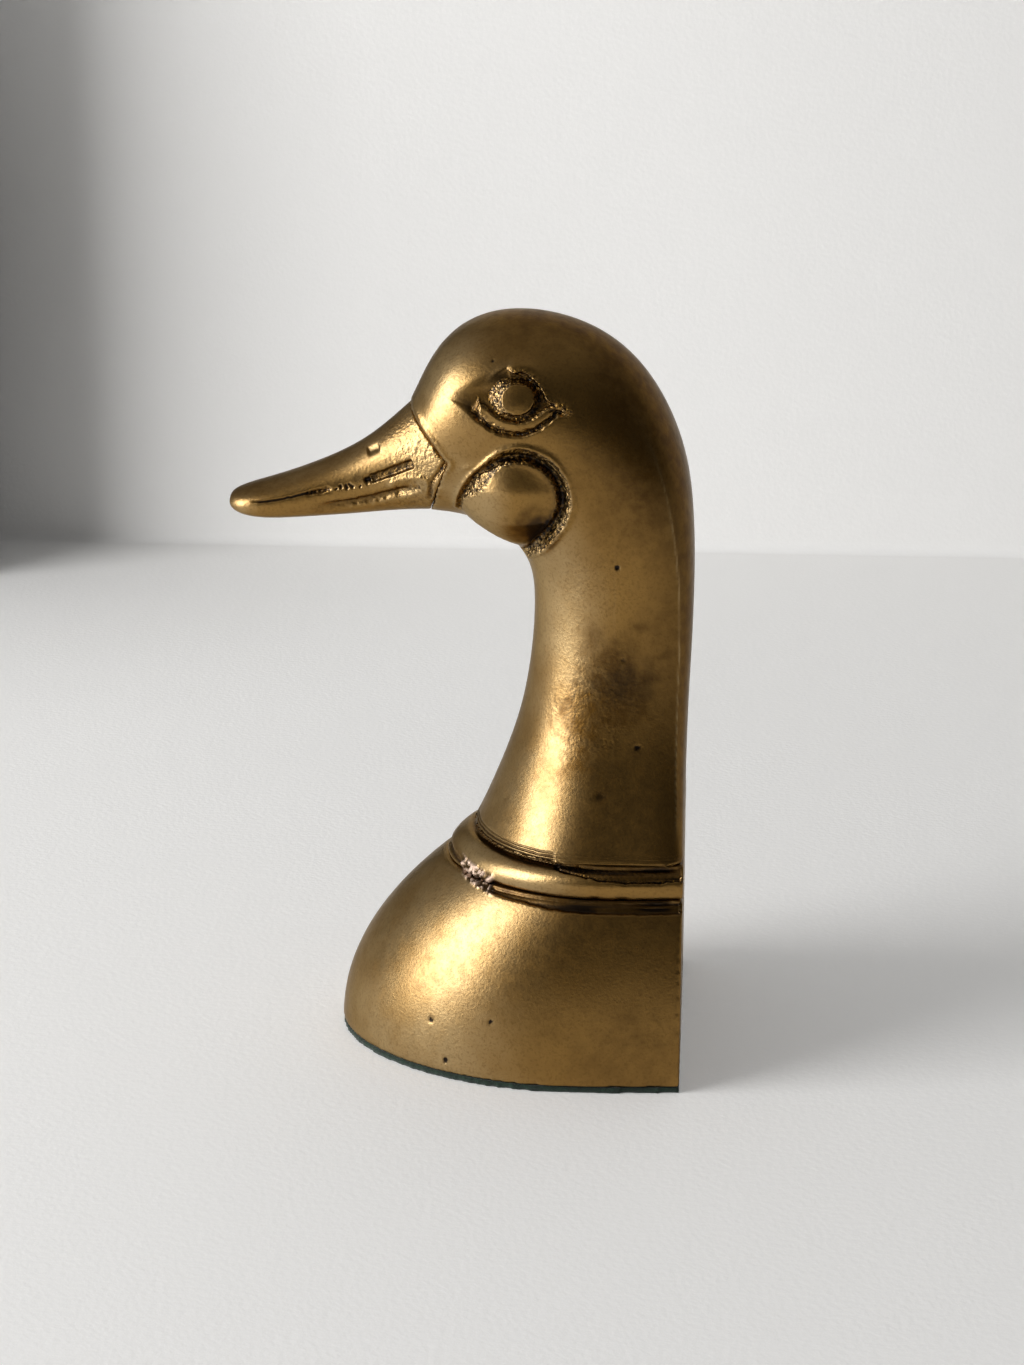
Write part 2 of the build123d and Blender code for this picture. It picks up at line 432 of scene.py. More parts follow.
    def store_layers(self) -> None:
        """Write the layers onto the mesh."""
        for layer, values in self.layers.items():
            store = self.mesh.attributes.new(layer.value, "FLOAT", "POINT")
            store.data.foreach_set("value", values.astype(np.float32))


@dataclass(frozen=True)
class Stroke:
    """A line carved into a casting's flanks, or raised from them, as the side view shows it."""

    path: Path2D  # X and Z, mm
    height: float  # mm, proud where positive and carved where negative
    width: float  # mm, half the line's breadth
    fade: float = 1.2  # mm over which each end dies away
    square: float = 2.0  # 2 is a round section, more is a flat one
    dirt: float = 0.0  # grime that it holds
    coarse: float = 0.0  # sand-mould skin that it keeps
    wobble: float = 0.16  # mm by which a hand-cut line wanders

    def lay(self, clay: Clay, weight: np.ndarray) -> np.ndarray:
        """Work out the line's section over a casting, and soil what it holds.

        Args:
            clay: the casting.
            weight: share of the line that each point takes.

        Returns:
            How far each point moves out, in mm.
        """
        curve = rounded(self.path)
        margin = 4.0 * self.width
        view = clay.side_view()
        low, high = curve.min(axis=0) - margin, curve.max(axis=0) + margin
        near = ((view > low) & (view < high)).all(axis=1) & (weight > 0)
        share = np.zeros(len(view))
        drift = np.stack([cast_noise(clay.points[near], DRIFT_CELL, seed) for seed in DRIFT_SEEDS], axis=1)
        distance, travel, length = along_curve(view[near] + self.wobble * drift, curve)
        ends = ease(0.0, self.fade, travel) * ease(0.0, self.fade, length - travel)
        share[near] = np.exp(-((np.abs(distance) / self.width) ** self.square)) * ends * weight[near]
        clay.raise_layer(Layer.RECESS, self.dirt * share**2)
        clay.raise_layer(Layer.TARNISH, 1.2 * self.dirt * share)
        clay.raise_layer(Layer.GRAIN, self.coarse * share)
        return self.height * share


def carve(clay: Clay, strokes: tuple[Stroke, ...], weight: np.ndarray) -> None:
    """Cut and raise several lines on a casting at once."""
    clay.push(sum(stroke.lay(clay, weight) for stroke in strokes))


@dataclass(frozen=True)
class Patch:
    """A stain, spot or pit on the outside of a casting."""

    centre: tuple[float, float, float]  # mm
    radius: float  # mm
    strength: float  # share of full tarnish
    depth: float = 0.0  # mm
    ragged: float = 0.35  # how far its edge wanders, as a share of the radius
    even: float = 0.35  # share of the radius inside which it keeps its full strength
    cells: tuple[float, float] = (0.6, 0.17)  # large and small wander of its edge, as shares of the radius
    small_wander: float = 0.6  # reach of the small wander against the large

    def lay(self, clay: Clay, layer: Layer, seed: int) -> None:
        """Stain one layer of a casting, and sink the metal where it is a pit.

        Args:
            clay: the casting.
            layer: the layer that takes the stain.
            seed: picks the wander of the edge.
        """
        gap = np.linalg.norm(clay.points - np.array(self.centre), axis=1)
        large, small = (cast_noise(clay.points, cell * self.radius, seed) for cell in self.cells)
        wander = large + self.small_wander * small
        share = ease(1.0, self.even, gap / self.radius + self.ragged * wander)
        clay.layers[layer] = np.clip(clay.layers[layer] + self.strength * share, 0.0, 1.0)
        if self.depth:
            clay.push(-self.depth * share)


def lay_patches(clay: Clay, patches: tuple[Patch, ...], layer: Layer, seed: int) -> None:
    """Lay several patches on one layer of a casting, each with the next seed."""
    for number, patch in enumerate(patches):
        patch.lay(clay, layer, seed + number)


@dataclass(frozen=True)
class AgedBrass:
    """Sand-cast brass, filed and buffed, then handled and left to brown for years.

    Buffing leaves a satin sheen with a fine speckle. Brown patina gathers in clouds and in every
    recess, where the coarse skin of the sand mould still shows.
    """

    name: str = "aged cast brass"
    # the paler tone of the painted highlight
    highlight_tone: str = "#AA8F63"
    mellow: str = "#947037"
    brown: str = "#5E4115"
    # the darkest tone, for grime and for painted shade in some hollows
    grime_shade_tone: str = "#1A0F05"
    flux: str = "#CDB5A3"
    edge: str = "#BDB3A2"  # the metal pales at a low angle
    roughness: float = 0.29
    lacquer: float = 0.25  # share of the surface that still has its clear lacquer
    lacquer_roughness: float = 0.28
    cloud: float = 16.0  # mm, clouds of patina
    mottle: float = 2.6  # mm, mottling inside them
    speck: float = 0.7  # mm, pores left by the sand
    speck_depth: float = 0.05  # mm
    grit: float = 0.9  # mm, grains of the mould's sand
    grit_depth: float = 0.7  # mm

    def material(self) -> bpy.types.Material:
        """Build the finish.

        Returns:
            The material.
        """
        made, tree, shader = start_material(self.name)
        place = add_node(tree, "TexCoord").outputs["Object"]
        parts = {
            layer.value: add_node(tree, "Attribute", attribute_name=layer.value).outputs["Fac"]
            for layer in Layer
        }
        for name, size, detail in (
            ("cloud", self.cloud, 4.0),
            ("mottle", self.mottle, 4.0),
            ("speck", self.speck, 2.0),
            ("grit", self.grit, 1.0),
        ):
            feeds = {"Vector": place, "Scale": 1 / (size * MM), "Detail": detail, "Roughness": 0.6}
            parts[name] = add_node(tree, "TexNoise", feeds).outputs["Fac"]
        for name, pattern, low, high, curve in (
            ("clouds", "cloud", 0.36, 0.72, "SMOOTHSTEP"),
            ("mottling", "mottle", 0.4, 0.66, "LINEAR"),
            ("specks", "speck", 0.5, 0.68, "LINEAR"),
            ("grains", "grit", 0.36, 0.64, "LINEAR"),
            ("hollows", "grit", 0.47, 0.39, "LINEAR"),
        ):
            feeds = {0: parts[pattern], 1: low, 2: high}
            parts[name] = add_node(tree, "MapRange", feeds, interpolation_type=curve).outputs[0]
        for name, operation, *terms in (
            ("clear of clouds", "MULTIPLY_ADD", "clouds", -0.5, 1.0),
            ("bright", "MULTIPLY", "painted_highlight", "clear of clouds"),
            ("uneven", "MULTIPLY_ADD", "mottling", 0.35, 0.7),
            ("haze", "MULTIPLY_ADD", "clouds", 0.22, "tarnish"),
            ("browning", "MULTIPLY", "haze", "uneven"),
            ("open skin", "MULTIPLY_ADD", "grain", 0.5, 0.32),
            ("pores", "MULTIPLY", "specks", "open skin"),
            ("mould skin", "MULTIPLY", "grain", 0.8),
            ("bare grains", "MULTIPLY", "grains", "mould skin"),
            # grime share, which also carries painted shade in some hollows
            ("held grime and shade", "SUBTRACT", "recess", "bare grains"),
            ("grime and shade", "DIVIDE", "held grime and shade", 0.62),
            ("pepper", "MULTIPLY", "hollows", "mould skin"),
            ("grime, pepper and shade", "MAXIMUM", "grime and shade", "pepper"),
            ("browned", "MULTIPLY_ADD", "browning", 0.08, self.roughness),
            ("crusted", "MULTIPLY_ADD", "filler", 0.3, "browned"),
            ("dull", "MULTIPLY_ADD", "mottling", 0.07, "crusted"),
        ):
            feeds = {number: parts.get(term, term) for number, term in enumerate(terms)}
            parts[name] = add_node(tree, "Math", feeds, operation=operation, use_clamp=True).outputs[0]
        metal = linear(self.mellow)
        for share, colour in (
            # painted highlight: the paler tone, where the patina clouds leave it
            ("bright", self.highlight_tone),
            ("browning", self.brown),
            ("pores", self.brown),
            ("grime, pepper and shade", self.grime_shade_tone),
            ("filler", self.flux),
        ):
            feeds = {0: parts[share], 6: metal, 7: linear(colour)}
            metal = add_node(tree, "Mix", feeds, data_type="RGBA").outputs[2]
        bump = {"Distance": self.speck_depth * MM, "Strength": 1.0, "Height": parts["speck"]}
        fine = add_node(tree, "Bump", bump).outputs["Normal"]
        bump = {"Distance": self.grit_depth * MM, "Strength": parts["grain"], "Height": parts["grit"]}
        relief = add_node(tree, "Bump", {**bump, "Normal": fine}).outputs["Normal"]
        fill_inputs(
            shader,
            {
                "Metallic": 1.0,
                "Specular Tint": linear(self.edge),
                "Coat Weight": self.lacquer,
                "Coat Roughness": self.lacquer_roughness,
                "Base Color": metal,
                "Roughness": parts["dull"],
                "Normal": relief,
            },
        )
        return made


@dataclass(frozen=True)
class PressedFelt:
    """Dark green pressed wool felt: a matt nap of short fibres with no weave."""

    name: str = "pressed wool felt"
    dark: str = "#0D1C14"
    light: str = "#1F3A2B"
    fibre: float = 0.7  # mm
    tuft: float = 3.0  # mm
    nap: float = 0.3  # mm
    roughness: float = 0.95
    sheen: float = 0.3

    def material(self) -> bpy.types.Material:
        """Build the finish.

        Returns:
            The material.
        """
        made, tree, shader = start_material(self.name)
        place = add_node(tree, "TexCoord").outputs["Object"]
        wool = {"Vector": place, "Detail": 5.0, "Distortion": 1.5}
        fibres, tufts = (
            add_node(tree, "TexNoise", {**wool, "Scale": 1 / (size * MM)}).outputs["Fac"]
            for size in (self.fibre, self.tuft)
        )
        blend = add_node(tree, "Math", {0: fibres, 1: tufts}, operation="MULTIPLY", use_clamp=True)
        shade = add_node(tree, "MapRange", {0: blend.outputs[0], 1: 0.12, 2: 0.42}).outputs[0]
        tones = {0: shade, 6: linear(self.dark), 7: linear(self.light)}
        colour = add_node(tree, "Mix", tones, data_type="RGBA").outputs[2]
        nap = add_node(tree, "Bump", {"Distance": self.nap * MM, "Strength": 0.8, "Height": fibres})
        uniform = {"Roughness": self.roughness, "Sheen Weight": self.sheen}
        fill_inputs(shader, {**uniform, "Base Color": colour, "Normal": nap.outputs["Normal"]})
        return made


@dataclass(frozen=True)
class Hardboard:
    """Pressed-fibre hardboard: brown, matt, with short pale and dark fibres."""

    name: str = "hardboard"
    dark: str = "#4A3622"
    light: str = "#7A5F40"
    fibre: float = 1.8  # mm
    relief: float = 0.1  # mm
    roughness: float = 0.7

    def material(self) -> bpy.types.Material:
        """Build the finish.

        Returns:
            The material.
        """
        made, tree, shader = start_material(self.name)
        place = add_node(tree, "TexCoord").outputs["Object"]
        pulp = {"Vector": place, "Scale": 1 / (self.fibre * MM), "Detail": 6.0, "Distortion": 2.0}
        fibres = add_node(tree, "TexNoise", pulp).outputs["Fac"]
        tones = {0: fibres, 6: linear(self.dark), 7: linear(self.light)}
        colour = add_node(tree, "Mix", tones, data_type="RGBA").outputs[2]
        grain = add_node(tree, "Bump", {"Distance": self.relief * MM, "Strength": 0.4, "Height": fibres})
        looks = {"Roughness": self.roughness, "Base Color": colour, "Normal": grain.outputs["Normal"]}
        fill_inputs(shader, looks)
        return made


def keep_piece(
    name: str, mesh: bpy.types.Mesh, node: str, made: bpy.types.Material
) -> bpy.types.Object:
    """Put a finished mesh in the scene in place of its solid.

    Args:
        name: the piece's name.
        mesh: its mesh, in metres.
        node: the solid that it stands for.
        made: its finish.

    Returns:
        The piece.
    """
    mesh.name = name
    mesh.materials.clear()
    mesh.materials.append(made)
    mesh.shade_smooth()
    piece = bpy.data.objects.new(name, mesh)
    bpy.context.scene.collection.objects.link(piece)
    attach(piece, BODY)
    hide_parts(node)
    log.info("%s: %d faces, stands for %s", name, len(mesh.polygons), node)
    return piece


@dataclass(frozen=True)
class CollarLines:
    """The scored lines and grooves round the foot of the neck, as levels of Z along X, in mm."""

    groove_top: Path2D = ((-20.0, 53.4), (10.0, 53.1), (43.0, 52.9))
    groove_foot: Path2D = (
        (-20.0, 52.2), (11.0, 51.9), (13.5, 51.3), (24.0, 50.0), (32.0, 49.6), (43.0, 49.9)
    )
    ring_foot: Path2D = (
        (-20.0, 48.2), (-14.7, 47.6), (-8.0, 46.2), (0.0, 45.3), (12.0, 45.0), (43.0, 44.9)
    )
    ledge_foot: Path2D = (
        (-20.0, 47.2), (-14.7, 46.4), (-9.6, 44.8), (-4.2, 43.8),
        (2.3, 43.3), (10.8, 42.6), (19.9, 42.3), (43.0, 42.2),
    )
    front_share: float = 0.03  # weight of a normal along X, for each mm before the middle
    wander: tuple[float, float] = (0.3, 0.15)  # large and small wander of a hand-cut edge
    wander_cells: tuple[float, float] = (1.6, 0.7)
    edge: float = 0.3  # half the height over which the upper groove's edges fall
    rough_from: float = 11.8  # mm along X, where the upper groove turns coarse
    groove_depth: float = 0.9
    lip_depth: float = 1.05
    lip_width: float = 0.8
    lip_drop: float = 0.6  # from the groove's top line down to the lip's middle
    brink_depth: float = 0.35
    brink_width: float = 0.35
    ledge_depth: float = 0.8
    seat_width: float = 0.3
    score_depth: float = 0.3
    score_gap: float = 0.75
    score_start: float = 0.7  # gaps from the groove's top line up to the first score
    score_width: float = 0.22
    scores: int = 3
    streak: tuple[float, float, float] = (9.0, 9.0, 0.55)  # mm, a scored streak's length and height
    streak_depth: float = 0.14
    filler: tuple[float, float] = (-11.0, -3.0)  # mm along X, the ends of a lump of filler
    curd_height: float = 0.45
    seam_height: float = 0.6
    ledge_dirt: tuple[float, float, float] = (0.05, 0.2, 0.35)  # all along, more behind, and in streaks
    groove_dirt: tuple[float, float] = (0.12, 0.55)  # all along, and in streaks
    lip_dirt: float = 0.3
    brink_dirt: float = 0.9
    seat_dirt: float = 0.45
    score_dirt: float = 0.4

    def _level(self, clay: Clay, path: Path2D) -> np.ndarray:
        """Give a line's level at each point of a casting."""
        along, level = np.array(path).T
        return np.interp(clay.points[:, 0], along, level)

    def carve(self, clay: Clay, seed: int) -> None:
        """Cut the part of these lines that falls on one casting.

        Args:
            clay: the casting.
            seed: picks the wander of the coarse groove.
        """
        skin, outside = self._skins(clay)
        x, _, z = clay.points.T
        large, small = (
            cast_noise(clay.points, cell, seed + 3 * number) for number, cell in enumerate(self.wander_cells)
        )
        wander = self.wander[0] * large + self.wander[1] * small
        streaks = cast_noise(clay.points / np.array(self.streak), 1.0, seed + 1)
        lines = (self.groove_top, self.groove_foot, self.ring_foot, self.ledge_foot)
        top, foot, ring, ledge = (self._level(clay, line) for line in lines)
        coarse = ease(self.rough_from - 0.5, self.rough_from + 0.5, x)
        groove = coarse * ease(top + self.edge, top - self.edge, z)
        groove *= ease(foot - self.edge, foot + self.edge, z + wander)
        lip = (1.0 - coarse) * bell(z - top + self.lip_drop, self.lip_width)
        brink = coarse * bell(z - foot + wander, self.brink_width)
        shelf = ease(ring + 0.25, ring - 0.35, z) * ease(ledge - 0.5, ledge + 0.4, z + 0.6 * wander)
        offset = -self.groove_depth * groove - self.lip_depth * lip
        offset -= self.brink_depth * brink + self.ledge_depth * shelf
        above = ease(top - 0.2, top + 0.2, z) * ease(top + 2.6, top + 1.6, z) * (1.0 - 0.6 * coarse)
        for number in range(self.scores):
            level = top + (number + self.score_start) * self.score_gap + 0.3 * wander
            line = above * bell(z - level, self.score_width)
            clay.raise_layer(Layer.RECESS, outside * self.score_dirt * line * (0.8 + 0.4 * streaks))
            clay.raise_layer(Layer.TARNISH, outside * line)
            offset -= self.score_depth * line
        scored = np.maximum(shelf, groove)
        offset += self.streak_depth * streaks * scored
        dark = ease(0.05, 0.45, -streaks)
        thin, behind, streaky = self.ledge_dirt
        foul = shelf * (thin + behind * ease(-4.0, 14.0, x) + streaky * dark)
        caked = groove * (self.groove_dirt[0] + self.groove_dirt[1] * dark)
        seat = bell(z - ledge - 0.2 + 0.4 * wander, self.seat_width)
        start = bell(x - self.rough_from - 0.4, 0.7) * bell(z - top + 0.9, 0.6)
        soot = (foul, caked, self.lip_dirt * lip, self.brink_dirt * brink, self.seat_dirt * seat, start)
        clay.raise_layer(Layer.RECESS, skin * np.clip(np.max(soot, axis=0), 0.0, 1.0))
        clay.raise_layer(Layer.GRAIN, outside * np.maximum(0.2 * groove, brink))
        clay.raise_layer(Layer.TARNISH, skin * np.max((scored, lip, 0.35 * above), axis=0))
        lump, swell = self._fill(clay, seed, skin, wander)
        clay.push(outside * (offset * (1.0 - 0.8 * lump) + swell))

    def _skins(self, clay: Clay) -> tuple[np.ndarray, np.ndarray]:
        """Tell the outside of a casting from its hollow, its back and its joint faces.

        Args:
            clay: the casting.

        Returns:
            A share that is 1 where the outside is soiled, and one that is 1 where it is cut as well.
        """
        x, y, _ = clay.points.T
        nx, ny, nz = clay.normals.T
        away = nx * np.minimum(x, 0.0) * self.front_share + ny * np.sign(y)
        skin = ease(-0.45, -0.05, away) * ease(0.99, 0.93, nx)
        return skin, ease(-0.1, 0.25, away) * skin * ease(0.97, 0.88, np.abs(nz))

    def _fill(
        self, clay: Clay, seed: int, skin: np.ndarray, wander: np.ndarray
    ) -> tuple[np.ndarray, np.ndarray]:
        """Leave the curdled lump of filler in the joint under the ring, on the left side.

        Args:
            clay: the casting.
            seed: picks the curds.
            skin: share of the outside.
            wander: mm by which the lump's edge wanders.

        Returns:
            A share that is 1 in the lump, and how far it swells, in mm.
        """
        x, y, z = clay.points.T
        ring, ledge = self._level(clay, self.ring_foot), self._level(clay, self.ledge_foot)
        start, end = self.filler
        lump = ease(start - 0.8, start + 0.8, x + wander) * ease(end + 0.8, end - 0.8, x + wander)
        lump *= ease(ledge - 1.1, ledge - 0.2, z) * ease(ring + 2.0, ring + 1.1, z) * (y < 0)
        curds = cast_noise(clay.points, 0.9, seed + 5) + 0.5 * cast_noise(clay.points, 0.45, seed + 6)
        curds = ease(-0.1, 0.3, curds)
        smear = ease(start - 7.0, start, x) * ease(end + 2.0, end, x)
        smear *= ease(ledge - 0.9, ledge + 0.2, z) * ease(ring + 2.2, ring + 0.6, z) * (y < 0)
        clay.raise_layer(Layer.TARNISH, skin * np.maximum(0.8 * smear, lump))
        clay.raise_layer(Layer.FILLER, skin * lump * curds)
        clay.raise_layer(Layer.RECESS, skin * 0.4 * lump * (1.0 - curds))
        seam = bell(z - ring + 0.2, 0.6)
        return lump, lump * (self.curd_height * curds + self.seam_height * seam)


@dataclass(frozen=True)
class Eye:
    """One eye: a flat-topped ball in a moat, a lower lid and the rims round them.

    Paths are in mm from the eye's middle, as the side view shows them.
    """

    centre: tuple[float, float] = (2.75, 160.55)
    face_radius: float = 3.7
    face_squat: float = 0.88  # the ball's height as a share of its length
    face_height: float = 0.6
    face_dome: float = 0.008  # mm of fall for each square mm from its middle
    flank_behind: float = 2.6  # mm that the ball's flank falls for each mm out, behind and below
    flank_before: float = 0.58  # the same in front
    moat_reach: float = 1.1  # mm from the ball's face to the grime round it
    moat_width: float = 0.8  # mm
    moat_dirt: float = 0.75
    socket_depth: float = 0.9  # mm, beside the lid
    brow_depth: float = 1.3  # mm more, under the brow
    brow_from: tuple[float, float] = (-3.0, 2.0)  # mm up, where the brow's hollow starts and is full
    brow_to: tuple[float, float] = (8.5, 4.5)  # mm up, where it ends and is still full
    brow: Path2D = ((-13.2, -1.4), (-11.6, -0.2), (-8.5, 1.6), (-5.0, 3.7), (-3.0, 5.2))
    rim: Path2D = (
        (-2.4, 4.6), (-1.0, 5.4), (0.6, 5.7), (1.9, 5.2), (3.3, 4.1), (4.8, 2.6),
        (5.7, 0.8), (6.6, -0.5), (8.2, -1.2), (9.8, -1.5), (11.2, -2.3), (12.5, -3.3),
    )
    rim_tail: Path2D = ((9.4, -1.8), (11.0, -2.5), (12.4, -3.3))
    groove: Path2D = (
        (12.2, -3.5), (9.6, -3.0), (8.2, -3.6), (6.4, -5.0), (4.6, -6.3), (3.1, -7.1), (0.5, -7.9),
        (-2.3, -7.9), (-4.8, -7.3), (-6.8, -6.2), (-8.9, -4.7), (-10.6, -3.1), (-11.9, -2.2),
    )
    lid: Path2D = (
        (-9.9, -1.2), (-8.4, -2.5), (-5.8, -4.4), (-3.8, -5.5), (-1.6, -6.0),
        (0.6, -6.1), (2.9, -5.5), (4.9, -4.4), (6.6, -3.1), (8.4, -2.2),
    )
    lid_edge: Path2D = ((-10.6, -1.9), (-9.6, -3.0), (-7.4, -5.0), (-5.0, -6.4), (-2.3, -7.0))  # outer wall
    back_nick: Path2D = ((7.0, -2.3), (9.4, -2.6))
    brow_end: tuple[float, float] = (-3.0, 6.0)  # where the rim leaves the brow
    brow_fade: tuple[float, float] = (-6.5, -1.0)  # mm along, where the rim's edge starts and is full
    corner: tuple[float, float] = (-8.0, -11.5)  # mm along, the socket's front corner
    corner_soft: float = 0.8  # mm by which the groove's edge is softer there
    lid_end: tuple[float, float] = (-9.8, -8.5)  # mm along, where the lid rises out of the front corner
    painted_shades: tuple[tuple[float, float, float], ...] = (  # painted shade in the socket, under the brow and in its front corner: along, up and radius
        (-4.6, 4.4, 2.8),
        (-11.4, -1.9, 1.7),
    )
    # strength of that painted shade
    painted_shade_strength: float = 0.42
    brow_lip: float = 3.4  # mm outside its line where the brow starts to fall into the socket
    brow_reach: float = 4.2  # mm inside its line where it stops
    rim_reach: float = 0.5  # mm over which the rim falls, to each side of its line
    lid_half: float = 0.45  # mm inside the lid's line where its flat top ends
    lid_reach: float = 1.7  # mm inside it where it has fallen to the socket's floor
    near: float = 7.0  # mm, the solid's plain boss is evened out inside this radius
    far: float = 9.0
    above: float = 140.0  # mm up, nothing of an eye lies lower

    def _placed(self, path: Path2D) -> Path2D:
        """Move a path from the eye's middle to its place on the head."""
        return tuple((self.centre[0] + u, self.centre[1] + v) for u, v in path)

    def _lines(self) -> tuple[Stroke, ...]:
        """List the lines that are raised or cut round the ball."""
        return (
            Stroke(self._placed(self.lid), 0.2, 1.1, fade=1.0, square=4.0, wobble=0.2),
            Stroke(self._placed(self.rim), 0.4, 0.95, fade=1.6, coarse=1.1, wobble=0.25),
            Stroke(self._placed(self.rim_tail), 0.15, 1.1, fade=1.0, coarse=1.1),
            Stroke(self._placed(self.lid_edge), 0.1, 0.6, fade=1.5, coarse=1.1, wobble=0.2),
            Stroke(self._placed(self.groove), -0.8, 0.55, fade=3.0, dirt=0.8, coarse=1.0, wobble=0.25),
            Stroke(self._placed(self.back_nick), -0.4, 0.45, fade=0.5, dirt=0.7),
        )

    def carve(self, clay: Clay) -> None:
        """Shape both eyes of a head.

        Args:
            clay: the head.
        """
        spot = clay.side_view() - np.array(self.centre)
        u, v = spot.T
        radius = np.hypot(u, v / self.face_squat)
        weight = clay.outward() * (clay.points[:, 2] > self.above)
        across = np.abs(clay.points[:, 1])
        ground = self._ground(u, v, np.hypot(u, v), across, weight)
        across += (ground - across) * ease(self.far, self.near, radius) * (weight > 0)
        socket, wall = self._socket(spot)
        under_brow = ease(*self.brow_from, v) * ease(*self.brow_to, v)
        floor = -(self.socket_depth + self.brow_depth * under_brow) * socket
        for stroke in self._lines():
            floor += stroke.lay(clay, weight)
        uneven = radius + 0.2 * cast_noise(clay.points, 1.5, 31) + 0.14 * cast_noise(clay.points, 0.5, 32)
        before = ease(-0.3, 0.8, -u / np.maximum(radius, 0.1))
        out = np.maximum(uneven - self.face_radius, 0.0)
        fall = self.flank_behind + (self.flank_before - self.flank_behind) * before
        dome = self.face_height - self.face_dome * radius**2 - fall * out
        ball = np.where(radius < self.far, dome, -np.inf)
        flank = ease(0.0, 0.3, out) * (ball > floor - 0.2)
        bed = bell(out - self.moat_reach, self.moat_width) * (1.0 - before) * (out > 0)
        clay.raise_layer(Layer.GRAIN, weight * np.max((flank, bed, wall), axis=0))
        clay.raise_layer(Layer.RECESS, self.moat_dirt * weight * bed)
        # Painted shade: darken the socket under the brow and in its front corner, outside the ball.
        for along, up, size in self.painted_shades:
            shade_spot = bell(np.hypot(u - along, v - up), size) * (ball < floor)
            clay.raise_layer(Layer.RECESS, self.painted_shade_strength * weight * shade_spot)
        clay.raise_layer(Layer.TARNISH, weight * np.maximum(0.9 * socket * (ball < floor), bed))
        moved = clay.points.copy()
        moved[:, 1] = np.sign(moved[:, 1]) * (across + np.maximum(floor, ball) * weight)
        clay.place(moved)

    def _ground(
        self, u: np.ndarray, v: np.ndarray, radius: np.ndarray, across: np.ndarray, weight: np.ndarray
    ) -> np.ndarray:
        """Find the plain cheek that the eye stands on, from the skin round it.

        Args:
            u: place along X from the eye's centre.
            v: place along Z from it.
            radius: distance from it.
            across: distance from the middle plane.
            weight: share of the flank.

        Returns:
            The plain cheek's distance from the middle plane at each point.
        """
        around = (radius > self.near) & (radius < 2 * self.near) & (weight > 0.5)
        scale = 2 * self.near
        powers = [(i, j) for i in range(5) for j in range(5 - i)]
        terms = np.stack([(u / scale) ** i * (v / scale) ** j for i, j in powers], axis=1)
        shape, *_ = np.linalg.lstsq(terms[around], across[around], rcond=None)
        return np.where(radius < 2 * self.near, terms @ shape, across)

    def _socket(self, view: np.ndarray) -> tuple[np.ndarray, np.ndarray]:
        """Measure how deep each place lies in the socket.

        Args:
            view: places in side view, from the eye's middle.

        Returns:
            A share that is 1 on the socket's floor and 0 outside it, and one that is 1 on the
            lid's inner wall.
        """
        reach = 4.0 * self.near
        over = (self.brow_end, *self.rim[1:9])
        soft = ease(-self.brow_lip, self.brow_reach, beside_curve(view, self.brow, reach))
        tight = ease(-self.rim_reach, self.rim_reach, beside_curve(view, over, reach))
        tight = 1.0 - (1.0 - tight) * ease(*self.brow_fade, view[:, 0])
        shelf = ease(self.lid_half, self.lid_reach, -beside_curve(view, self.lid, reach))
        shelf = np.maximum(shelf, ease(self.lid_end[1], self.lid_end[0], view[:, 0]))
        soften = self.rim_reach + self.corner_soft * ease(*self.corner, view[:, 0])
        held = ease(-soften, soften, beside_curve(view, self.groove, reach))
        depth = np.min((soft, tight, shelf, held), axis=0)
        return depth, 4.0 * shelf * (1.0 - shelf) * tight * soft * held


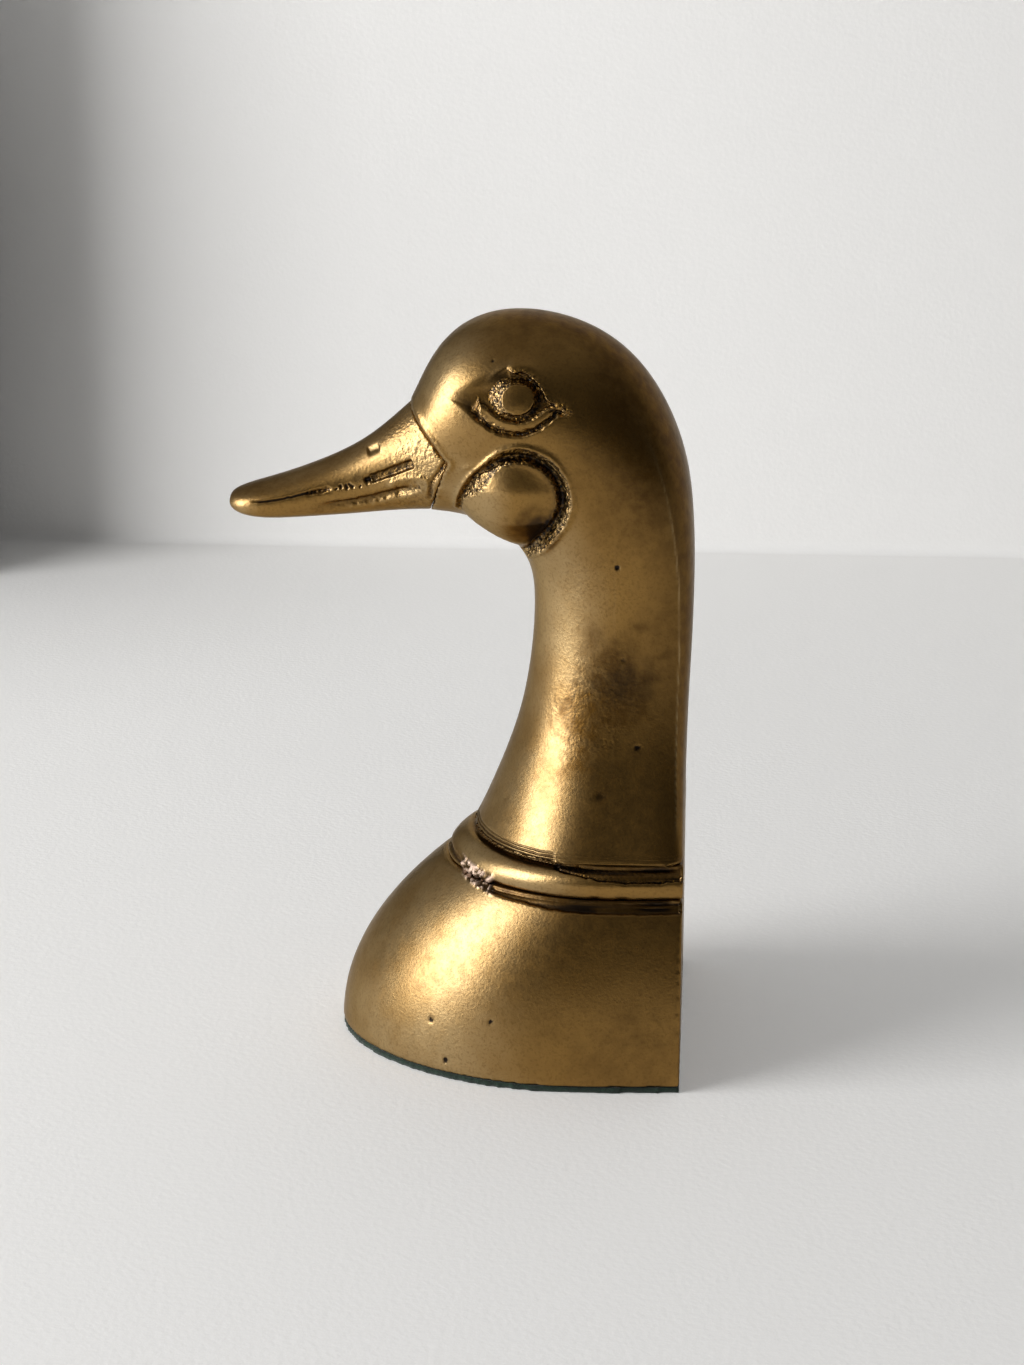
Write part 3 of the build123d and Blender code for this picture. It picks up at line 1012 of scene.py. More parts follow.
@dataclass(frozen=True)
class Cheek:
    """One round cheek, ringed by a deep coarse groove, mm from its middle in side view."""

    centre: tuple[float, float] = (2.1, 135.6)
    groove: Path2D = (
        (-13.8, -3.4), (-13.6, -1.0), (-12.8, 1.5), (-11.5, 3.9), (-9.4, 6.8), (-6.6, 8.9), (-3.7, 10.6),
        (-0.2, 11.5), (2.9, 11.3), (6.0, 10.0), (8.2, 8.0), (9.9, 5.2), (10.6, 2.5), (10.5, 0.0),
        (9.5, -3.0), (8.1, -5.5), (6.2, -8.2), (4.2, -10.6), (2.2, -12.8), (0.4, -14.6),
    )
    chin: Path2D = ((-4.0, -26.0), (-24.0, -14.0))  # below the chin, where the outline closes
    ridge: Path2D = ((-11.9, 142.8), (-9.5, 143.9), (-6.3, 145.2))  # runs from the ring towards the bill
    cut_depth: float = 0.9
    slope_depth: float = 1.0
    rim_height: float = 0.4
    ball_middle: tuple[float, float] = (7.0, 139.3)  # mm out and up, middle of the ball in the solid
    facets: tuple[float, ...] = (12.0, -17.0, -46.0)  # degrees up, the way each file facet faces
    filing: float = 0.65  # how flat the facets are
    back_way: float = 15.0  # degrees up, the middle of the coarse back of the ring
    back_span: tuple[float, float] = (70.0, 130.0)  # degrees from there, where the back ends
    bevel_span: tuple[float, float] = (80.0, 150.0)  # degrees up, where the front's bevel starts
    bevel_end: tuple[float, float] = (180.0, 165.0)  # degrees up, where it ends
    inner_wall: tuple[float, float, float] = (1.0, 2.6, 0.4)  # its breadth, more on the bevel and behind
    outer_wall: tuple[float, float] = (0.4, 1.9)  # its breadth, and more behind
    far: float = 22.0  # mm, the ring lies inside this radius
    boss: float = 11.0  # mm, the solid's plain boss is evened out inside this one

    def carve(self, clay: Clay) -> None:
        """Shape both cheeks of a head.

        Args:
            clay: the head.
        """
        view = clay.side_view() - np.array(self.centre)
        radius = np.hypot(*view.T)
        outward = clay.outward() * (np.abs(clay.points[:, 1]) > 5.0) * (radius < self.far)
        clay.smooth((radius < self.boss) & (outward > 0), 12)
        curve = rounded(self.groove)
        drift = 0.14 * cast_noise(clay.points, 1.3, 51) + 0.14 * cast_noise(clay.points, 0.5, 52)
        gap, travel, length = along_curve(view, curve)
        gap = np.abs(gap)
        inner = within(view, np.vstack((curve, np.array(self.chin))))
        self._facet(clay, self.filing * outward * inner * ease(0.6, 2.2, gap))
        clay.smooth(inner & (outward > 0), 6)
        ends = ease(0.0, 1.0, travel) * ease(0.0, 1.0, length - travel)
        turn = np.degrees(np.arctan2(view[:, 1], view[:, 0]))
        front = ease(*self.back_span, np.abs(turn - self.back_way))
        back = 1.0 - front
        bevel = front * ease(*self.bevel_end, turn) * ease(*self.bevel_span, turn)
        plain, bevelled, behind = self.inner_wall
        outer = self.outer_wall[0] + self.outer_wall[1] * back
        wall = np.where(inner, plain + bevelled * bevel + behind * back, outer)
        gap = np.maximum(gap + drift * ease(0.0, 0.6, gap), 0.0)
        slope = 1.0 - ease(0.1, 1.0, gap / wall)
        cut = bell(gap, 0.45 + 0.3 * back)
        rim = np.where(inner, 0.0, bell(gap - wall - 0.2, 0.6))
        weight = outward * ends
        # Behind the ring the grime is wider and browner: partly grime, partly painted shade for the dark that
        # the groove's inner wall shows there.
        shade = np.where(inner, 0.4 + 1.0 * back, 0.35)
        clay.raise_layer(Layer.RECESS, weight * (0.8 + 0.2 * back) * bell(gap, shade))
        clay.raise_layer(Layer.TARNISH, weight * inner * slope * back)
        clay.raise_layer(Layer.GRAIN, weight * (1.0 - ease(0.75, 1.15, gap / wall)))
        depth = self.cut_depth * (0.8 + 0.2 * back) * cut
        depth += self.slope_depth * (0.25 + 0.75 * back + 0.5 * bevel) * slope
        clay.push(weight * (self.rim_height * rim - depth))
        carve(clay, (Stroke(self.ridge, 0.22, 0.55, fade=2.5),), clay.outward())

    def _facet(self, clay: Clay, weight: np.ndarray) -> None:
        """Leave the soft file facets that run along the dome.

        Args:
            clay: the head.
            weight: share of the filing that each point takes.
        """
        out = np.abs(clay.points[:, 1]) - self.ball_middle[0]
        up = clay.points[:, 2] - self.ball_middle[1]
        tilt = np.degrees(np.arctan2(up, out))
        step = self.facets[0] - self.facets[1]
        off = np.min(np.abs(tilt[:, None] - np.array(self.facets)), axis=1)
        off = np.minimum(off, 0.5 * step)
        shrink = np.cos(np.radians(0.5 * step)) / np.cos(np.radians(off))
        factor = 1.0 + (shrink - 1.0) * weight
        moved = clay.points.copy()
        moved[:, 1] = np.sign(moved[:, 1]) * (self.ball_middle[0] + out * factor)
        moved[:, 2] = self.ball_middle[1] + up * factor
        clay.place(moved)


@dataclass
class HeadAndNeck:
    """Hollow head and neck, cast in two halves and brazed on the middle plane, lengths in mm."""

    brass: bpy.types.Material
    collar: CollarLines
    eye: Eye = field(default_factory=Eye)
    cheek: Cheek = field(default_factory=Cheek)
    voxel: float = 0.67
    nape_corner: float = 0.6
    nape_turn: float = 38.0  # degrees from square across to the corner's own facing
    nape_width: float = 13.0  # degrees over which the corner falls off
    nape_highlight_width: float = 9.0  # degrees of the painted highlight along each corner
    nape_foot: tuple[float, float] = (56.0, 66.0)  # levels where the corner starts and is full
    nape_head: tuple[float, float] = (160.0, 140.0)  # levels where it ends and is still full
    nape_from: float = 25.0  # along X
    root: Path2D = (
        (-25.0, 159.0), (-22.5, 155.8), (-20.3, 152.8), (-17.0, 148.8), (-14.8, 145.9),
        (-13.7, 144.7), (-15.3, 141.8), (-17.1, 138.8), (-17.6, 134.2),
    )
    inside_kept: float = 0.1  # share of the faces that stay on the walls of the hollow
    eye_box: tuple[float, float] = (16.0, 10.5)  # each way from the eye's middle, for fine points
    eye_oval: tuple[float, float] = (14.5, 8.4)  # the same for the closest points
    eye_drop: float = 1.2  # from the eye's middle down to the oval's
    ring_band: float = 3.2  # to each side of the cheek's ring
    root_band: float = 2.6  # to each side of the bill's root
    foot_band: tuple[float, float] = (52.4, 57.0)  # levels of the neck's foot
    score_band: tuple[float, float] = (53.0, 56.2)  # levels of the scored lines
    score_end: float = 15.0  # along X
    stains: tuple[Patch, ...] = (
        Patch((25.0, -19.6, 99.5), 10.5, 1.0, ragged=0.45, even=0.0),
        Patch((26.5, -20.8, 88.5), 10.5, 1.0, ragged=0.45, even=0.0),
        Patch((19.0, -20.6, 84.5), 9.5, 0.6, ragged=0.6, even=0.0),
        Patch((15.8, -22.6, 74.5), 7.5, 0.5, ragged=0.6, even=0.0),
        Patch((6.0, -19.5, 128.5), 7.5, 1.0),
        Patch((6.0, 19.5, 128.5), 7.5, 0.8),
        Patch((26.0, 22.0, 90.0), 17.0, 0.4),
        Patch((22.3, -26.2, 67.7), 2.0, 0.5),
        Patch((16.0, 0.0, 176.0), 22.0, 0.4),
    )
    pitted: tuple[Patch, ...] = (
        Patch((18.0, -21.0, 86.0), 12.0, 0.13),
        Patch((22.0, -20.0, 96.0), 12.0, 0.13),
        Patch((22.0, -20.0, 119.0), 11.0, 0.12),
        Patch((19.0, 21.0, 92.0), 13.0, 0.13),
    )
    pits: tuple[Patch, ...] = (
        Patch((25.5, -20.0, 121.3), 0.8, 1.0, 0.3, 0.1),
        Patch((22.3, -26.2, 67.7), 1.4, 0.35, 0.15, 0.2),
        Patch((30.7, -22.7, 78.8), 0.8, 1.0, 0.2, 0.1),
        Patch((7.0, -18.5, 127.6), 5.5, 0.5, 0.0, 0.5),
        Patch((7.0, 18.5, 127.6), 5.5, 0.4, 0.0, 0.5),
        Patch((27.0, -20.2, 93.0), 13.0, 0.4, 0.0, 0.35, -0.1),
        Patch((27.2, -19.6, 99.0), 0.9, 0.4, 0.1, 0.3),
        Patch((-3.3, -17.2, 168.7), 0.7, 0.6, 0.12, 0.4),
    )

    def build(self) -> list[bpy.types.Object]:
        """Model, dress and halve the casting.

        Returns:
            The two halves.
        """
        clay = Clay(("neck_left_half", "neck_right_half"), self.voxel)
        clay.even_out(20.0, 45, 2)
        clay.thin_inside(self.inside_kept)
        clay.refine(self._detailed(clay))
        clay.smooth(self._detailed(clay), 3)
        clay.refine(self._finest(clay))
        self.cheek.carve(clay)
        self.eye.carve(clay)
        self._carve_root(clay)
        self._sharpen_nape(clay)
        self.collar.carve(clay, COLLAR_SEED)
        self._brown(clay)
        lay_patches(clay, self.stains, Layer.TARNISH, 20)
        self._paint_nape_light(clay)
        lay_patches(clay, self.pitted, Layer.GRAIN, 30)
        lay_patches(clay, self.pits, Layer.RECESS, 40)
        clay.weather(3)
        clay.store_layers()
        return [self._half(clay, side) for side in Side]

    def _detailed(self, clay: Clay) -> np.ndarray:
        """Pick out the places that carry fine lines.

        Args:
            clay: the casting.

        Returns:
            True for each point there.
        """
        view = clay.side_view()
        outward = clay.outward() > 0
        u, v = (view - np.array(self.eye.centre)).T
        eye = (np.abs(u) < self.eye_box[0]) & (np.abs(v) < self.eye_box[1]) & outward
        ring = along_curve(view - np.array(self.cheek.centre), np.array(self.cheek.groove))[0]
        root = along_curve(view, np.array(self.root))[0]
        low, high = self.foot_band
        foot = (view[:, 1] > low) & (view[:, 1] < high) & (clay.normals[:, 0] < 0.9)
        coarse = np.zeros(len(view), bool)
        for patch in self.pitted:
            coarse |= np.linalg.norm(clay.points - np.array(patch.centre), axis=1) < 1.2 * patch.radius
        lines = (np.abs(root) < self.root_band) | foot
        return eye | lines | (((np.abs(ring) < self.ring_band) | coarse) & outward)

    def _finest(self, clay: Clay) -> np.ndarray:
        """Pick out the eyes and the scored foot, which need the closest points.

        Args:
            clay: the casting.

        Returns:
            True for each point there.
        """
        x, _, z = clay.points.T
        u, v = (clay.side_view() - np.array(self.eye.centre)).T
        oval = np.hypot(u / self.eye_oval[0], (v + self.eye_drop) / self.eye_oval[1]) < 1.0
        scored = (z > self.score_band[0]) & (z < self.score_band[1]) & (x < self.score_end)
        return (oval | scored) & (clay.outward() > 0)

    def _carve_root(self, clay: Clay) -> None:
        """Raise the rim that the head keeps where the bill joins it."""
        rim = tuple((x + 0.9, z) for x, z in self.root)
        carve(clay, (Stroke(rim, 0.28, 0.7, fade=2.0, coarse=0.15),), clay.outward())

    def _nape(self, clay: Clay) -> tuple[np.ndarray, np.ndarray]:
        """Measure the nape's two upright corners.

        Args:
            clay: the casting.

        Returns:
            How many degrees each point faces behind the corner, and 1 along the stretch that
            has one.
        """
        x, y, z = clay.points.T
        nx, ny, _ = clay.normals.T
        behind = np.degrees(np.arctan2(nx, np.sign(y) * ny)) - self.nape_turn
        return behind, ease(*self.nape_foot, z) * ease(*self.nape_head, z) * (x > self.nape_from)

    def _sharpen_nape(self, clay: Clay) -> None:
        """Bring up the corner that runs down each side of the nape."""
        behind, upright = self._nape(clay)
        clay.push(self.nape_corner * upright * np.exp(-np.abs(behind) / self.nape_width))

    def _paint_nape_light(self, clay: Clay) -> None:
        """Paint the strip behind each corner of the nape brown, as painted reflection, and give the corner
        itself a painted highlight.

        Args:
            clay: the casting.
        """
        behind, upright = self._nape(clay)
        corner_highlight = upright * bell(behind, self.nape_highlight_width)
        # Painted reflection on the strip behind each corner, and a painted highlight on the corner itself.
        clay.raise_layer(Layer.TARNISH, 0.8 * upright * ease(4.0, 12.0, behind))
        clay.raise_layer(Layer.PAINTED_HIGHLIGHT, corner_highlight)
        clay.layers[Layer.TARNISH] *= 1.0 - 0.9 * corner_highlight

    def _brown(self, clay: Clay) -> None:
        """Leave the patina on the back and crown of the head and down the nape, out of hands' reach.

        Args:
            clay: the casting.
        """
        x, _, z = clay.points.T
        behind = ease(4.0, 34.0, x) * ease(112.0, 146.0, z)
        crown = 0.7 * ease(164.0, 177.0, z)
        nape = 0.55 * ease(24.0, 40.0, x)
        foot = 0.3 * ease(112.0, 84.0, z)
        clay.raise_layer(Layer.TARNISH, np.max((behind, crown, nape, foot), axis=0))

    def _half(self, clay: Clay, side: Side) -> bpy.types.Object:
        """Cut one half off the casting and close it on the middle plane.

        Args:
            clay: the whole casting, finished.
            side: which half to keep.

        Returns:
            The half.
        """
        bm = bmesh.new()
        bm.from_mesh(clay.mesh)
        cut = bmesh.ops.bisect_plane(
            bm,
            geom=[*bm.verts, *bm.edges, *bm.faces],
            plane_co=(0, 0, 0),
            plane_no=(0, -side.value, 0),
            dist=MERGE * MM,
            clear_outer=True,
        )
        edges = [e for e in cut["geom_cut"] if isinstance(e, bmesh.types.BMEdge)]
        bmesh.ops.triangle_fill(bm, edges=edges, use_beauty=True, normal=(0, -side.value, 0))
        for edge in edges:
            edge.smooth = False
        name = f"neck_{side.name.lower()}_half"
        mesh = bpy.data.meshes.new(name)
        bm.to_mesh(mesh)
        bm.free()
        return keep_piece(f"{name}_cast", mesh, name, self.brass)


@dataclass
class Bill:
    """Solid bill with its mouth line, teeth, slot and channel on each side, lengths in mm."""

    brass: bpy.types.Material
    root: Path2D
    voxel: float = 0.4
    mouth: Path2D = ((-61.3, 132.6), (-57.0, 133.0), (-53.6, 133.6), (-49.0, 134.7), (-42.0, 136.2))
    ragged: Path2D = ((-48.0, 135.0), (-45.0, 135.6), (-41.6, 136.3))
    slot: Path2D = ((-32.8, 138.8), (-27.0, 141.2), (-22.2, 143.4))
    channel: Path2D = ((-47.0, 131.2), (-40.0, 132.3), (-33.3, 133.7), (-26.7, 135.8), (-20.4, 137.6))
    lip: Path2D = ((-29.0, 137.6), (-22.6, 139.8), (-19.4, 139.5), (-18.4, 138.0), (-19.6, 136.3))
    slot_end: Path2D = ((-33.9, 138.4), (-32.4, 139.0))
    nostril: Path2D = ((-33.6, 144.7), (-32.0, 145.5), (-30.2, 146.2))
    teeth: tuple[Path2D, ...] = (
        ((-40.8, 136.6), (-40.5, 135.9)),
        ((-39.9, 137.4), (-39.3, 136.2)),
        ((-38.5, 137.6), (-37.8, 136.1)),
        ((-37.9, 137.7), (-36.3, 136.6)),
        ((-35.3, 137.1), (-34.5, 137.2)),
    )
    tenon: float = -13.0  # along X, where the hidden tenon starts
    root_grain: float = 0.24  # mould skin left near the root
    root_reach: tuple[float, float] = (17.0, 4.0)  # from the root, where that skin ends and is full

    def build(self) -> bpy.types.Object:
        """Model and dress the bill.

        Returns:
            The bill.
        """
        clay = Clay(("bill_casting",), self.voxel)
        clay.even_out(24.0, 40, 2)
        clay.refine((clay.outward() > 0.3) & (clay.points[:, 0] < self.tenon))
        weight = clay.outward() * (clay.points[:, 0] < self.tenon)
        carve(clay, self._strokes(), weight)
        gap = np.abs(along_curve(clay.side_view(), np.array(self.root))[0])
        clay.raise_layer(Layer.GRAIN, weight * self.root_grain * ease(*self.root_reach, gap))
        clay.raise_layer(Layer.TARNISH, 0.6 * ease(0.25, 0.8, clay.normals[:, 2]))
        clay.weather(7)
        clay.store_layers()
        return keep_piece("bill_cast", clay.mesh, "bill_casting", self.brass)

    def _strokes(self) -> tuple[Stroke, ...]:
        """List the lines on the bill's flanks.

        Returns:
            The lines, raised or cut.
        """
        teeth = tuple(Stroke(tooth, -0.4, 0.28, fade=0.25, dirt=0.75) for tooth in self.teeth)
        seat = tuple((x - 0.75, z) for x, z in self.root[1:])
        return (
            *teeth,
            Stroke(self.mouth, -0.45, 0.26, fade=2.5, dirt=0.8),
            Stroke(self.ragged, -0.35, 0.5, fade=0.8, dirt=0.7, coarse=0.9, wobble=0.3),
            Stroke(self.slot, -0.95, 1.05, fade=0.8, square=6.0, dirt=0.45, coarse=0.5),
            Stroke(self.slot_end, -0.9, 0.7, fade=0.2, dirt=1.0),
            Stroke(self.channel, -1.0, 1.1, fade=7.0, square=2.6, dirt=0.3, coarse=0.2),
            Stroke(self.channel[3:], -0.3, 1.0, fade=0.8, coarse=0.65),
            Stroke(self.lip, 0.35, 0.9, fade=2.5),
            Stroke(self.nostril, -0.4, 0.8, fade=0.8, dirt=0.25, wobble=0.05),
            Stroke(seat, -0.5, 0.5, fade=1.5, dirt=0.6, coarse=0.8),
        )


@dataclass
class CollarRing:
    """Rounded brass band between the neck and the breast, lengths in mm."""

    brass: bpy.types.Material
    collar: CollarLines
    voxel: float = 0.42
    pits: tuple[Patch, ...] = (
        Patch((-3.2, -27.6, 49.0), 0.6, 0.9, 0.2, 0.1),
        Patch((1.2, -29.6, 48.9), 0.5, 0.9, 0.2, 0.1),
    )
    top_band: tuple[float, float] = (49.0, 53.5)  # levels that the upper groove takes up

    def build(self) -> bpy.types.Object:
        """Model and dress the band.

        Returns:
            The band.
        """
        clay = Clay(("collar_ring",), self.voxel)
        clay.even_out(24.0, 40, 3)
        low, high = self.top_band
        clay.refine((clay.points[:, 2] > low) & (clay.points[:, 2] < high) & (clay.outward() > 0))
        self.collar.carve(clay, COLLAR_SEED)
        lay_patches(clay, self.pits, Layer.RECESS, 60)
        clay.weather(13)
        clay.store_layers()
        return keep_piece("collar_ring_cast", clay.mesh, "collar_ring", self.brass)


@dataclass
class Breast:
    """Hollow breast with a flat back, open underneath, lengths in mm."""

    brass: bpy.types.Material
    collar: CollarLines
    voxel: float = 0.66
    brown: float = 0.3  # patina all over it, which hands don't reach
    pits: tuple[Patch, ...] = (
        Patch((-17.2, -33.8, 13.6), 0.8, 1.0, 0.25, 0.1),
        Patch((-13.4, -36.9, 4.8), 0.9, 1.0, 0.25, 0.1),
        Patch((-2.5, -39.7, 16.1), 0.7, 1.0, 0.2, 0.1),
    )
    stains: tuple[Patch, ...] = (
        Patch((30.0, -42.0, 8.0), 16.0, 0.35),
        Patch((28.0, 42.0, 24.0), 18.0, 0.4),
        Patch((42.0, 6.0, 20.0), 26.0, 0.45),
    )
    ledge_band: tuple[float, float] = (40.5, 47.0)  # levels that the ledge under the ring takes up

    def build(self) -> bpy.types.Object:
        """Model and dress the breast.

        Returns:
            The breast.
        """
        clay = Clay(("breast_casting",), self.voxel)
        clay.even_out(22.0, 45, 1)
        low, high = self.ledge_band
        clay.refine((clay.points[:, 2] > low) & (clay.points[:, 2] < high) & (clay.outward() > 0))
        clay.smooth((clay.points[:, 2] > low) & (clay.outward() > 0), 2)
        self.collar.carve(clay, COLLAR_SEED)
        clay.raise_layer(Layer.TARNISH, self.brown * ease(4.0, 24.0, clay.points[:, 2]))
        lay_patches(clay, self.stains, Layer.TARNISH, 80)
        lay_patches(clay, self.pits, Layer.RECESS, 70)
        clay.weather(17)
        clay.store_layers()
        return keep_piece("breast_cast", clay.mesh, "breast_casting", self.brass)


@dataclass
class FeltPad:
    """Felt under the base, cut to the base's outline, lengths in mm."""

    felt: bpy.types.Material
    voxel: float = 0.7
    nap: float = 0.12
    tuft: float = 1.1

    def build(self) -> bpy.types.Object:
        """Model and dress the felt.

        Returns:
            The felt.
        """
        clay = Clay(("felt_pad",), self.voxel)
        clay.smooth(None, 2)
        clay.push(-self.nap * (0.5 + 0.5 * cast_noise(clay.points, self.tuft, 5)))
        piece = keep_piece("felt_pad_cut", clay.mesh, "felt_pad", self.felt)
        return piece


@dataclass
class BaseBoard:
    """Board in the open bottom, which carries the felt; the solid itself is right."""

    board: bpy.types.Material

    def build(self) -> bpy.types.Object:
        """Dress the board.

        Returns:
            The board.
        """
        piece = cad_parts["base_board"]
        piece.data.materials.clear()
        piece.data.materials.append(self.board)
        log.info("base_board: kept as it is")
        return piece


@dataclass
class Studio:
    """Plain pale sweep, a broad soft light from the left, and the camera, lengths in metres."""

    camera_place: tuple[float, float, float] = (0.0454, -0.6653, 0.2886)
    camera_yaw: float = 3.91  # degrees towards -X
    camera_pitch: float = 16.8  # degrees down
    camera_lens: float = 76.48  # mm on a 36 mm high sensor
    sensor: float = 36.0
    floor_colour: str = "#F1F0EE"
    # colour of the return card, painted shade for the shadowed wall at the left corner
    return_shade_colour: str = "#141312"
    card_roughness: float = 0.9
    card_shine: float = 0.2
    glow: float = 0.2  # paleness that the card shows whatever light falls on it
    tooth: float = 1.6  # mm, the card's fine grain
    tooth_depth: float = 0.2  # mm
    floor_corner: tuple[float, float] = (-3.0, -5.0)
    floor_size: float = 6.5
    wall_foot: float = 0.474
    wall_bend: float = 0.004
    wall_top: float = 0.62
    wall_left: float = -0.25  # the wall turns a corner here, so it is dark beyond
    wall_right: float = 1.6
    corner_depth: float = 0.07
    corner_shade_reach: float = 0.3  # how far the painted shade round the wall's left corner reaches
    corner_shade_height: float = 0.1
    window_place: tuple[float, float, float] = (-1.3, -0.54, 0.55)
    window_size: tuple[float, float] = (0.9, 1.0)
    window_watts: float = 23.5
    aim: tuple[float, float, float] = (0.0, 0.0, 0.09)
    room_dark: float = 0.06
    room_light: float = 0.36
    room_way: tuple[float, float, float] = (-0.5, 0.6, 0.62)
    room_colour: str = "#FFFFFF"

    def build(self) -> None:
        """Set up everything round the object."""
        card = self._card()
        self._floor(card)
        self._wall(card)
        self._window()
        self._room()
        self._camera()
        bpy.context.scene.view_settings.view_transform = "Standard"

    def _card(self) -> bpy.types.Material:
        """Make the matt white card of the floor and the wall, which shows nothing from behind.

        Returns:
            The material.
        """
        made, tree, shader = start_material("matt white card")
        ray = add_node(tree, "LightPath").outputs
        seen = ray["Is Camera Ray"]
        for kind in ("Is Glossy Ray", "Is Transmission Ray"):
            seen = add_node(tree, "Math", {0: seen, 1: ray[kind]}, operation="MAXIMUM").outputs[0]
        place = add_node(tree, "TexCoord").outputs["Object"]
        paper = {"Vector": place, "Scale": 1 / (self.tooth * MM), "Detail": 3.0}
        tooth = add_node(tree, "TexNoise", paper).outputs["Fac"]
        grain = add_node(tree, "Bump", {"Distance": self.tooth_depth * MM, "Strength": 0.5, "Height": tooth})
        # Painted shade: the card's glow fades to nothing towards the wall's left corner.
        corner = (self.wall_left, self.wall_foot, self.corner_shade_height)
        away = add_node(tree, "VectorMath", {0: place, 1: corner}, operation="DISTANCE").outputs["Value"]
        rise = {0: away, 1: 0.0, 2: self.corner_shade_reach, 3: 0.0, 4: self.glow}
        level = add_node(tree, "MapRange", rise, interpolation_type="SMOOTHSTEP").outputs[0]
        shown = add_node(tree, "Math", {0: seen, 1: level}, operation="MULTIPLY").outputs[0]
        fill_inputs(
            shader,
            {
                "Roughness": self.card_roughness,
                "Specular IOR Level": self.card_shine,
                "Base Color": linear(self.floor_colour),
                "Emission Color": linear(self.floor_colour),
                "Emission Strength": shown,
                "Normal": grain.outputs["Normal"],
            },
        )
        behind = add_node(tree, "NewGeometry").outputs["Backfacing"]
        clear = add_node(tree, "BsdfTransparent").outputs[0]
        faced = add_node(tree, "MixShader", {0: behind, 1: shader.outputs[0], 2: clear}).outputs[0]
        fill_inputs(tree.nodes["Material Output"], {"Surface": faced})
        return made

    def _stand(self, name: str, bm: bmesh.types.BMesh, card: bpy.types.Material) -> None:
        """Put one sheet of the set in the scene.

        Args:
            name: the sheet's name.
            bm: its faces, which are used up.
            card: its finish.
        """
        mesh = bpy.data.meshes.new(name)
        bm.to_mesh(mesh)
        bm.free()
        mesh.materials.append(card)
        mesh.shade_smooth()
        sheet = bpy.data.objects.new(name, mesh)
        bpy.context.scene.collection.objects.link(sheet)

    def _floor(self, card: bpy.types.Material) -> None:
        """Lay the floor.

        Args:
            card: its finish.
        """
        bm = bmesh.new()
        bmesh.ops.create_grid(bm, x_segments=1, y_segments=1, size=0.5 * self.floor_size)
        middle = Vector((*self.floor_corner, 0.0)) + Vector((0.5, 0.5, 0.0)) * self.floor_size
        bmesh.ops.translate(bm, vec=middle, verts=bm.verts)
        self._stand("floor", bm, card)

    def _wall(self, card: bpy.types.Material) -> None:
        """Stand the wall behind the object, with a short near-black return at its left end, whose colour
        paints the shade there and which casts real shadow.

        Args:
            card: the wall's finish.
        """
        bm = bmesh.new()
        foot = bm.verts.new((self.wall_right, self.wall_foot, 0.0))
        arc = bmesh.ops.spin(
            bm,
            geom=[foot],
            cent=(self.wall_right, self.wall_foot, self.wall_bend),
            axis=(1, 0, 0),
            angle=math.radians(90),
            steps=12,
        )
        end = next(g for g in arc["geom_last"] if isinstance(g, bmesh.types.BMVert))
        top = bm.verts.new((self.wall_right, self.wall_foot + self.wall_bend, self.wall_top))
        bm.edges.new((end, top))
        drawn = bmesh.ops.extrude_edge_only(bm, edges=bm.edges[:])
        moved = [g for g in drawn["geom"] if isinstance(g, bmesh.types.BMVert)]
        bmesh.ops.translate(bm, vec=(self.wall_left - self.wall_right, 0, 0), verts=moved)
        bmesh.ops.recalc_face_normals(bm, faces=bm.faces)
        bm.faces.ensure_lookup_table()
        if bm.faces[-1].normal.y > 0:
            bmesh.ops.reverse_faces(bm, faces=bm.faces)
        self._stand("wall", bm, card)
        # Painted shade: a near-black card stands for the shadowed wall at the left corner; it also casts real
        # shadow.
        made, _, shader = start_material("black card, painted shade")
        fill_inputs(shader, {"Base Color": linear(self.return_shade_colour), "Roughness": self.card_roughness})
        bm = bmesh.new()
        bmesh.ops.create_grid(bm, x_segments=1, y_segments=1, size=0.5)
        back = self.wall_foot + self.wall_bend
        for v in bm.verts:
            v.co = (self.wall_left, back + (v.co.x - 0.5) * self.corner_depth, (v.co.y + 0.5) * self.wall_top)
        self._stand("wall_return_shade", bm, made)

    def _window(self) -> None:
        """Hang the window's broad soft light, turned to the object."""
        light = bpy.data.lights.new("window", "AREA")
        light.shape = "RECTANGLE"
        light.size, light.size_y = self.window_size
        light.energy = self.window_watts
        lamp = bpy.data.objects.new("window", light)
        lamp.location = self.window_place
        way = Vector(self.aim) - Vector(self.window_place)
        lamp.rotation_euler = way.to_track_quat("-Z", "Y").to_euler()
        lamp.visible_camera = False
        bpy.context.scene.collection.objects.link(lamp)

    def _room(self) -> None:
        """Surround the object with a dim room, lighter above and behind it."""
        world = bpy.data.worlds.new("room")
        world.use_nodes = True
        bpy.context.scene.world = world
        tree = world.node_tree
        way = add_node(tree, "TexCoord").outputs["Generated"]
        facing = add_node(tree, "VectorMath", {0: way, 1: self.room_way}, operation="DOT_PRODUCT")
        rise = {0: facing.outputs["Value"], 1: -0.4, 2: 0.9, 3: self.room_dark, 4: self.room_light}
        level = add_node(tree, "MapRange", rise, interpolation_type="SMOOTHSTEP").outputs[0]
        fill_inputs(tree.nodes["Background"], {"Strength": level, "Color": linear(self.room_colour)})

    def _camera(self) -> None:
        """Stand the camera where the picture was taken from."""
        eye = bpy.data.cameras.new("camera")
        eye.sensor_fit = "VERTICAL"
        eye.sensor_height = self.sensor
        eye.lens = self.camera_lens
        eye.clip_start = 0.01
        camera = bpy.data.objects.new("camera", eye)
        camera.location = self.camera_place
        camera.rotation_euler = (math.radians(90 - self.camera_pitch), 0, math.radians(self.camera_yaw))
        bpy.context.scene.collection.objects.link(camera)
        bpy.context.scene.camera = camera


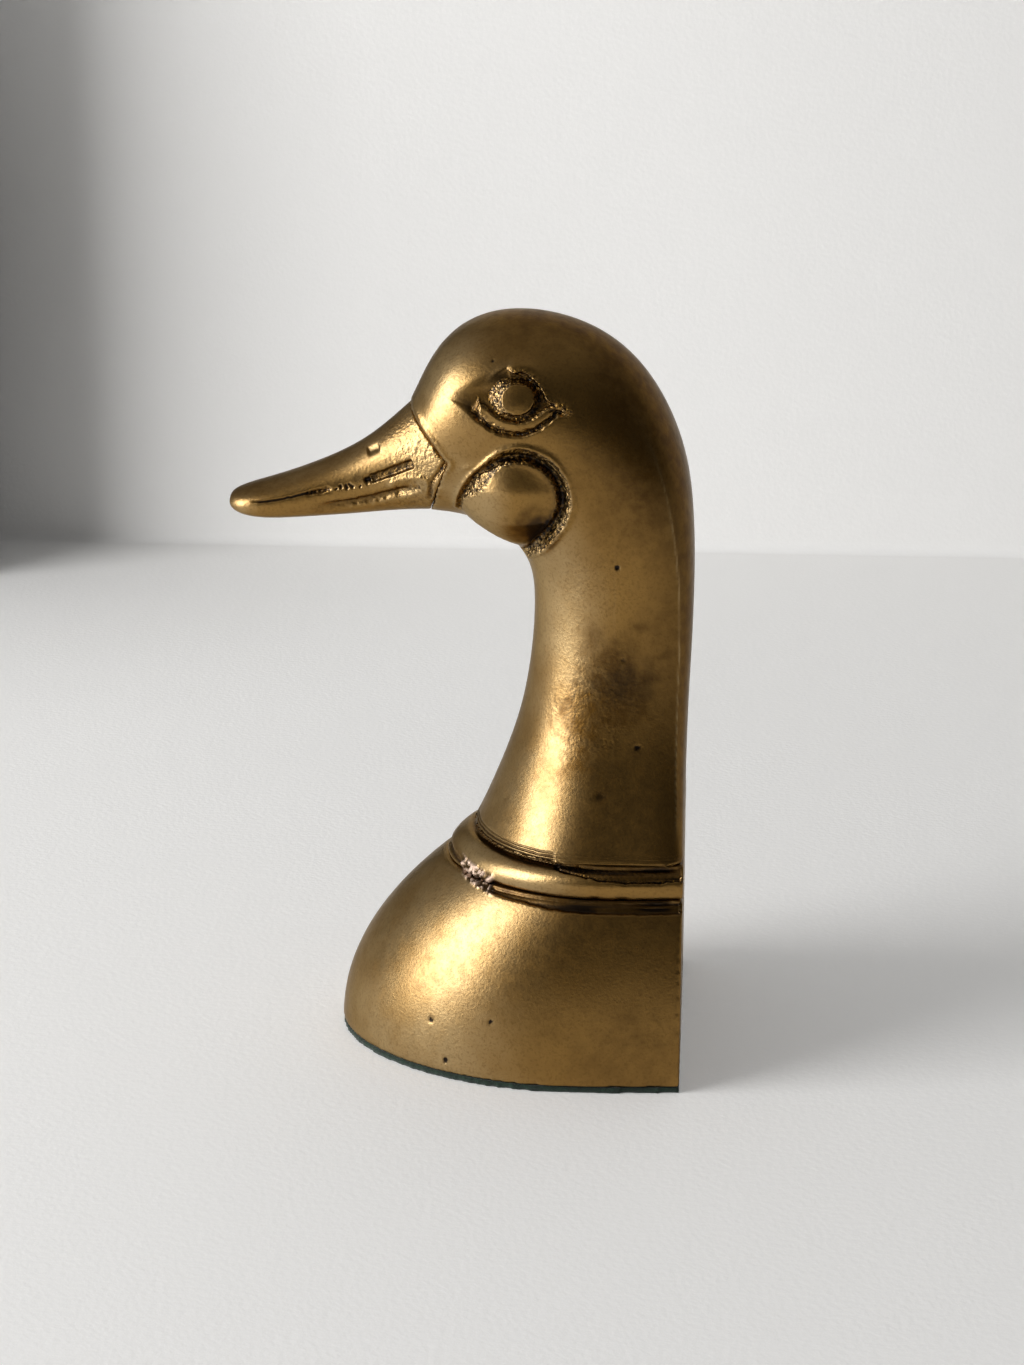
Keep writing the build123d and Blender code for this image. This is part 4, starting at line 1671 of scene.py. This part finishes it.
def main() -> None:
    """Build the studio and every piece in order; each piece logs its face count."""
    logging.basicConfig(level=logging.INFO, format="%(name)s %(message)s")
    Studio().build()
    brass = AgedBrass().material()
    lines = CollarLines()
    head = HeadAndNeck(brass, lines)
    head.build()
    Bill(brass, head.root).build()
    CollarRing(brass, lines).build()
    Breast(brass, lines).build()
    FeltPad(PressedFelt().material()).build()
    BaseBoard(Hardboard().material()).build()


if __name__ == "__main__":
    main()
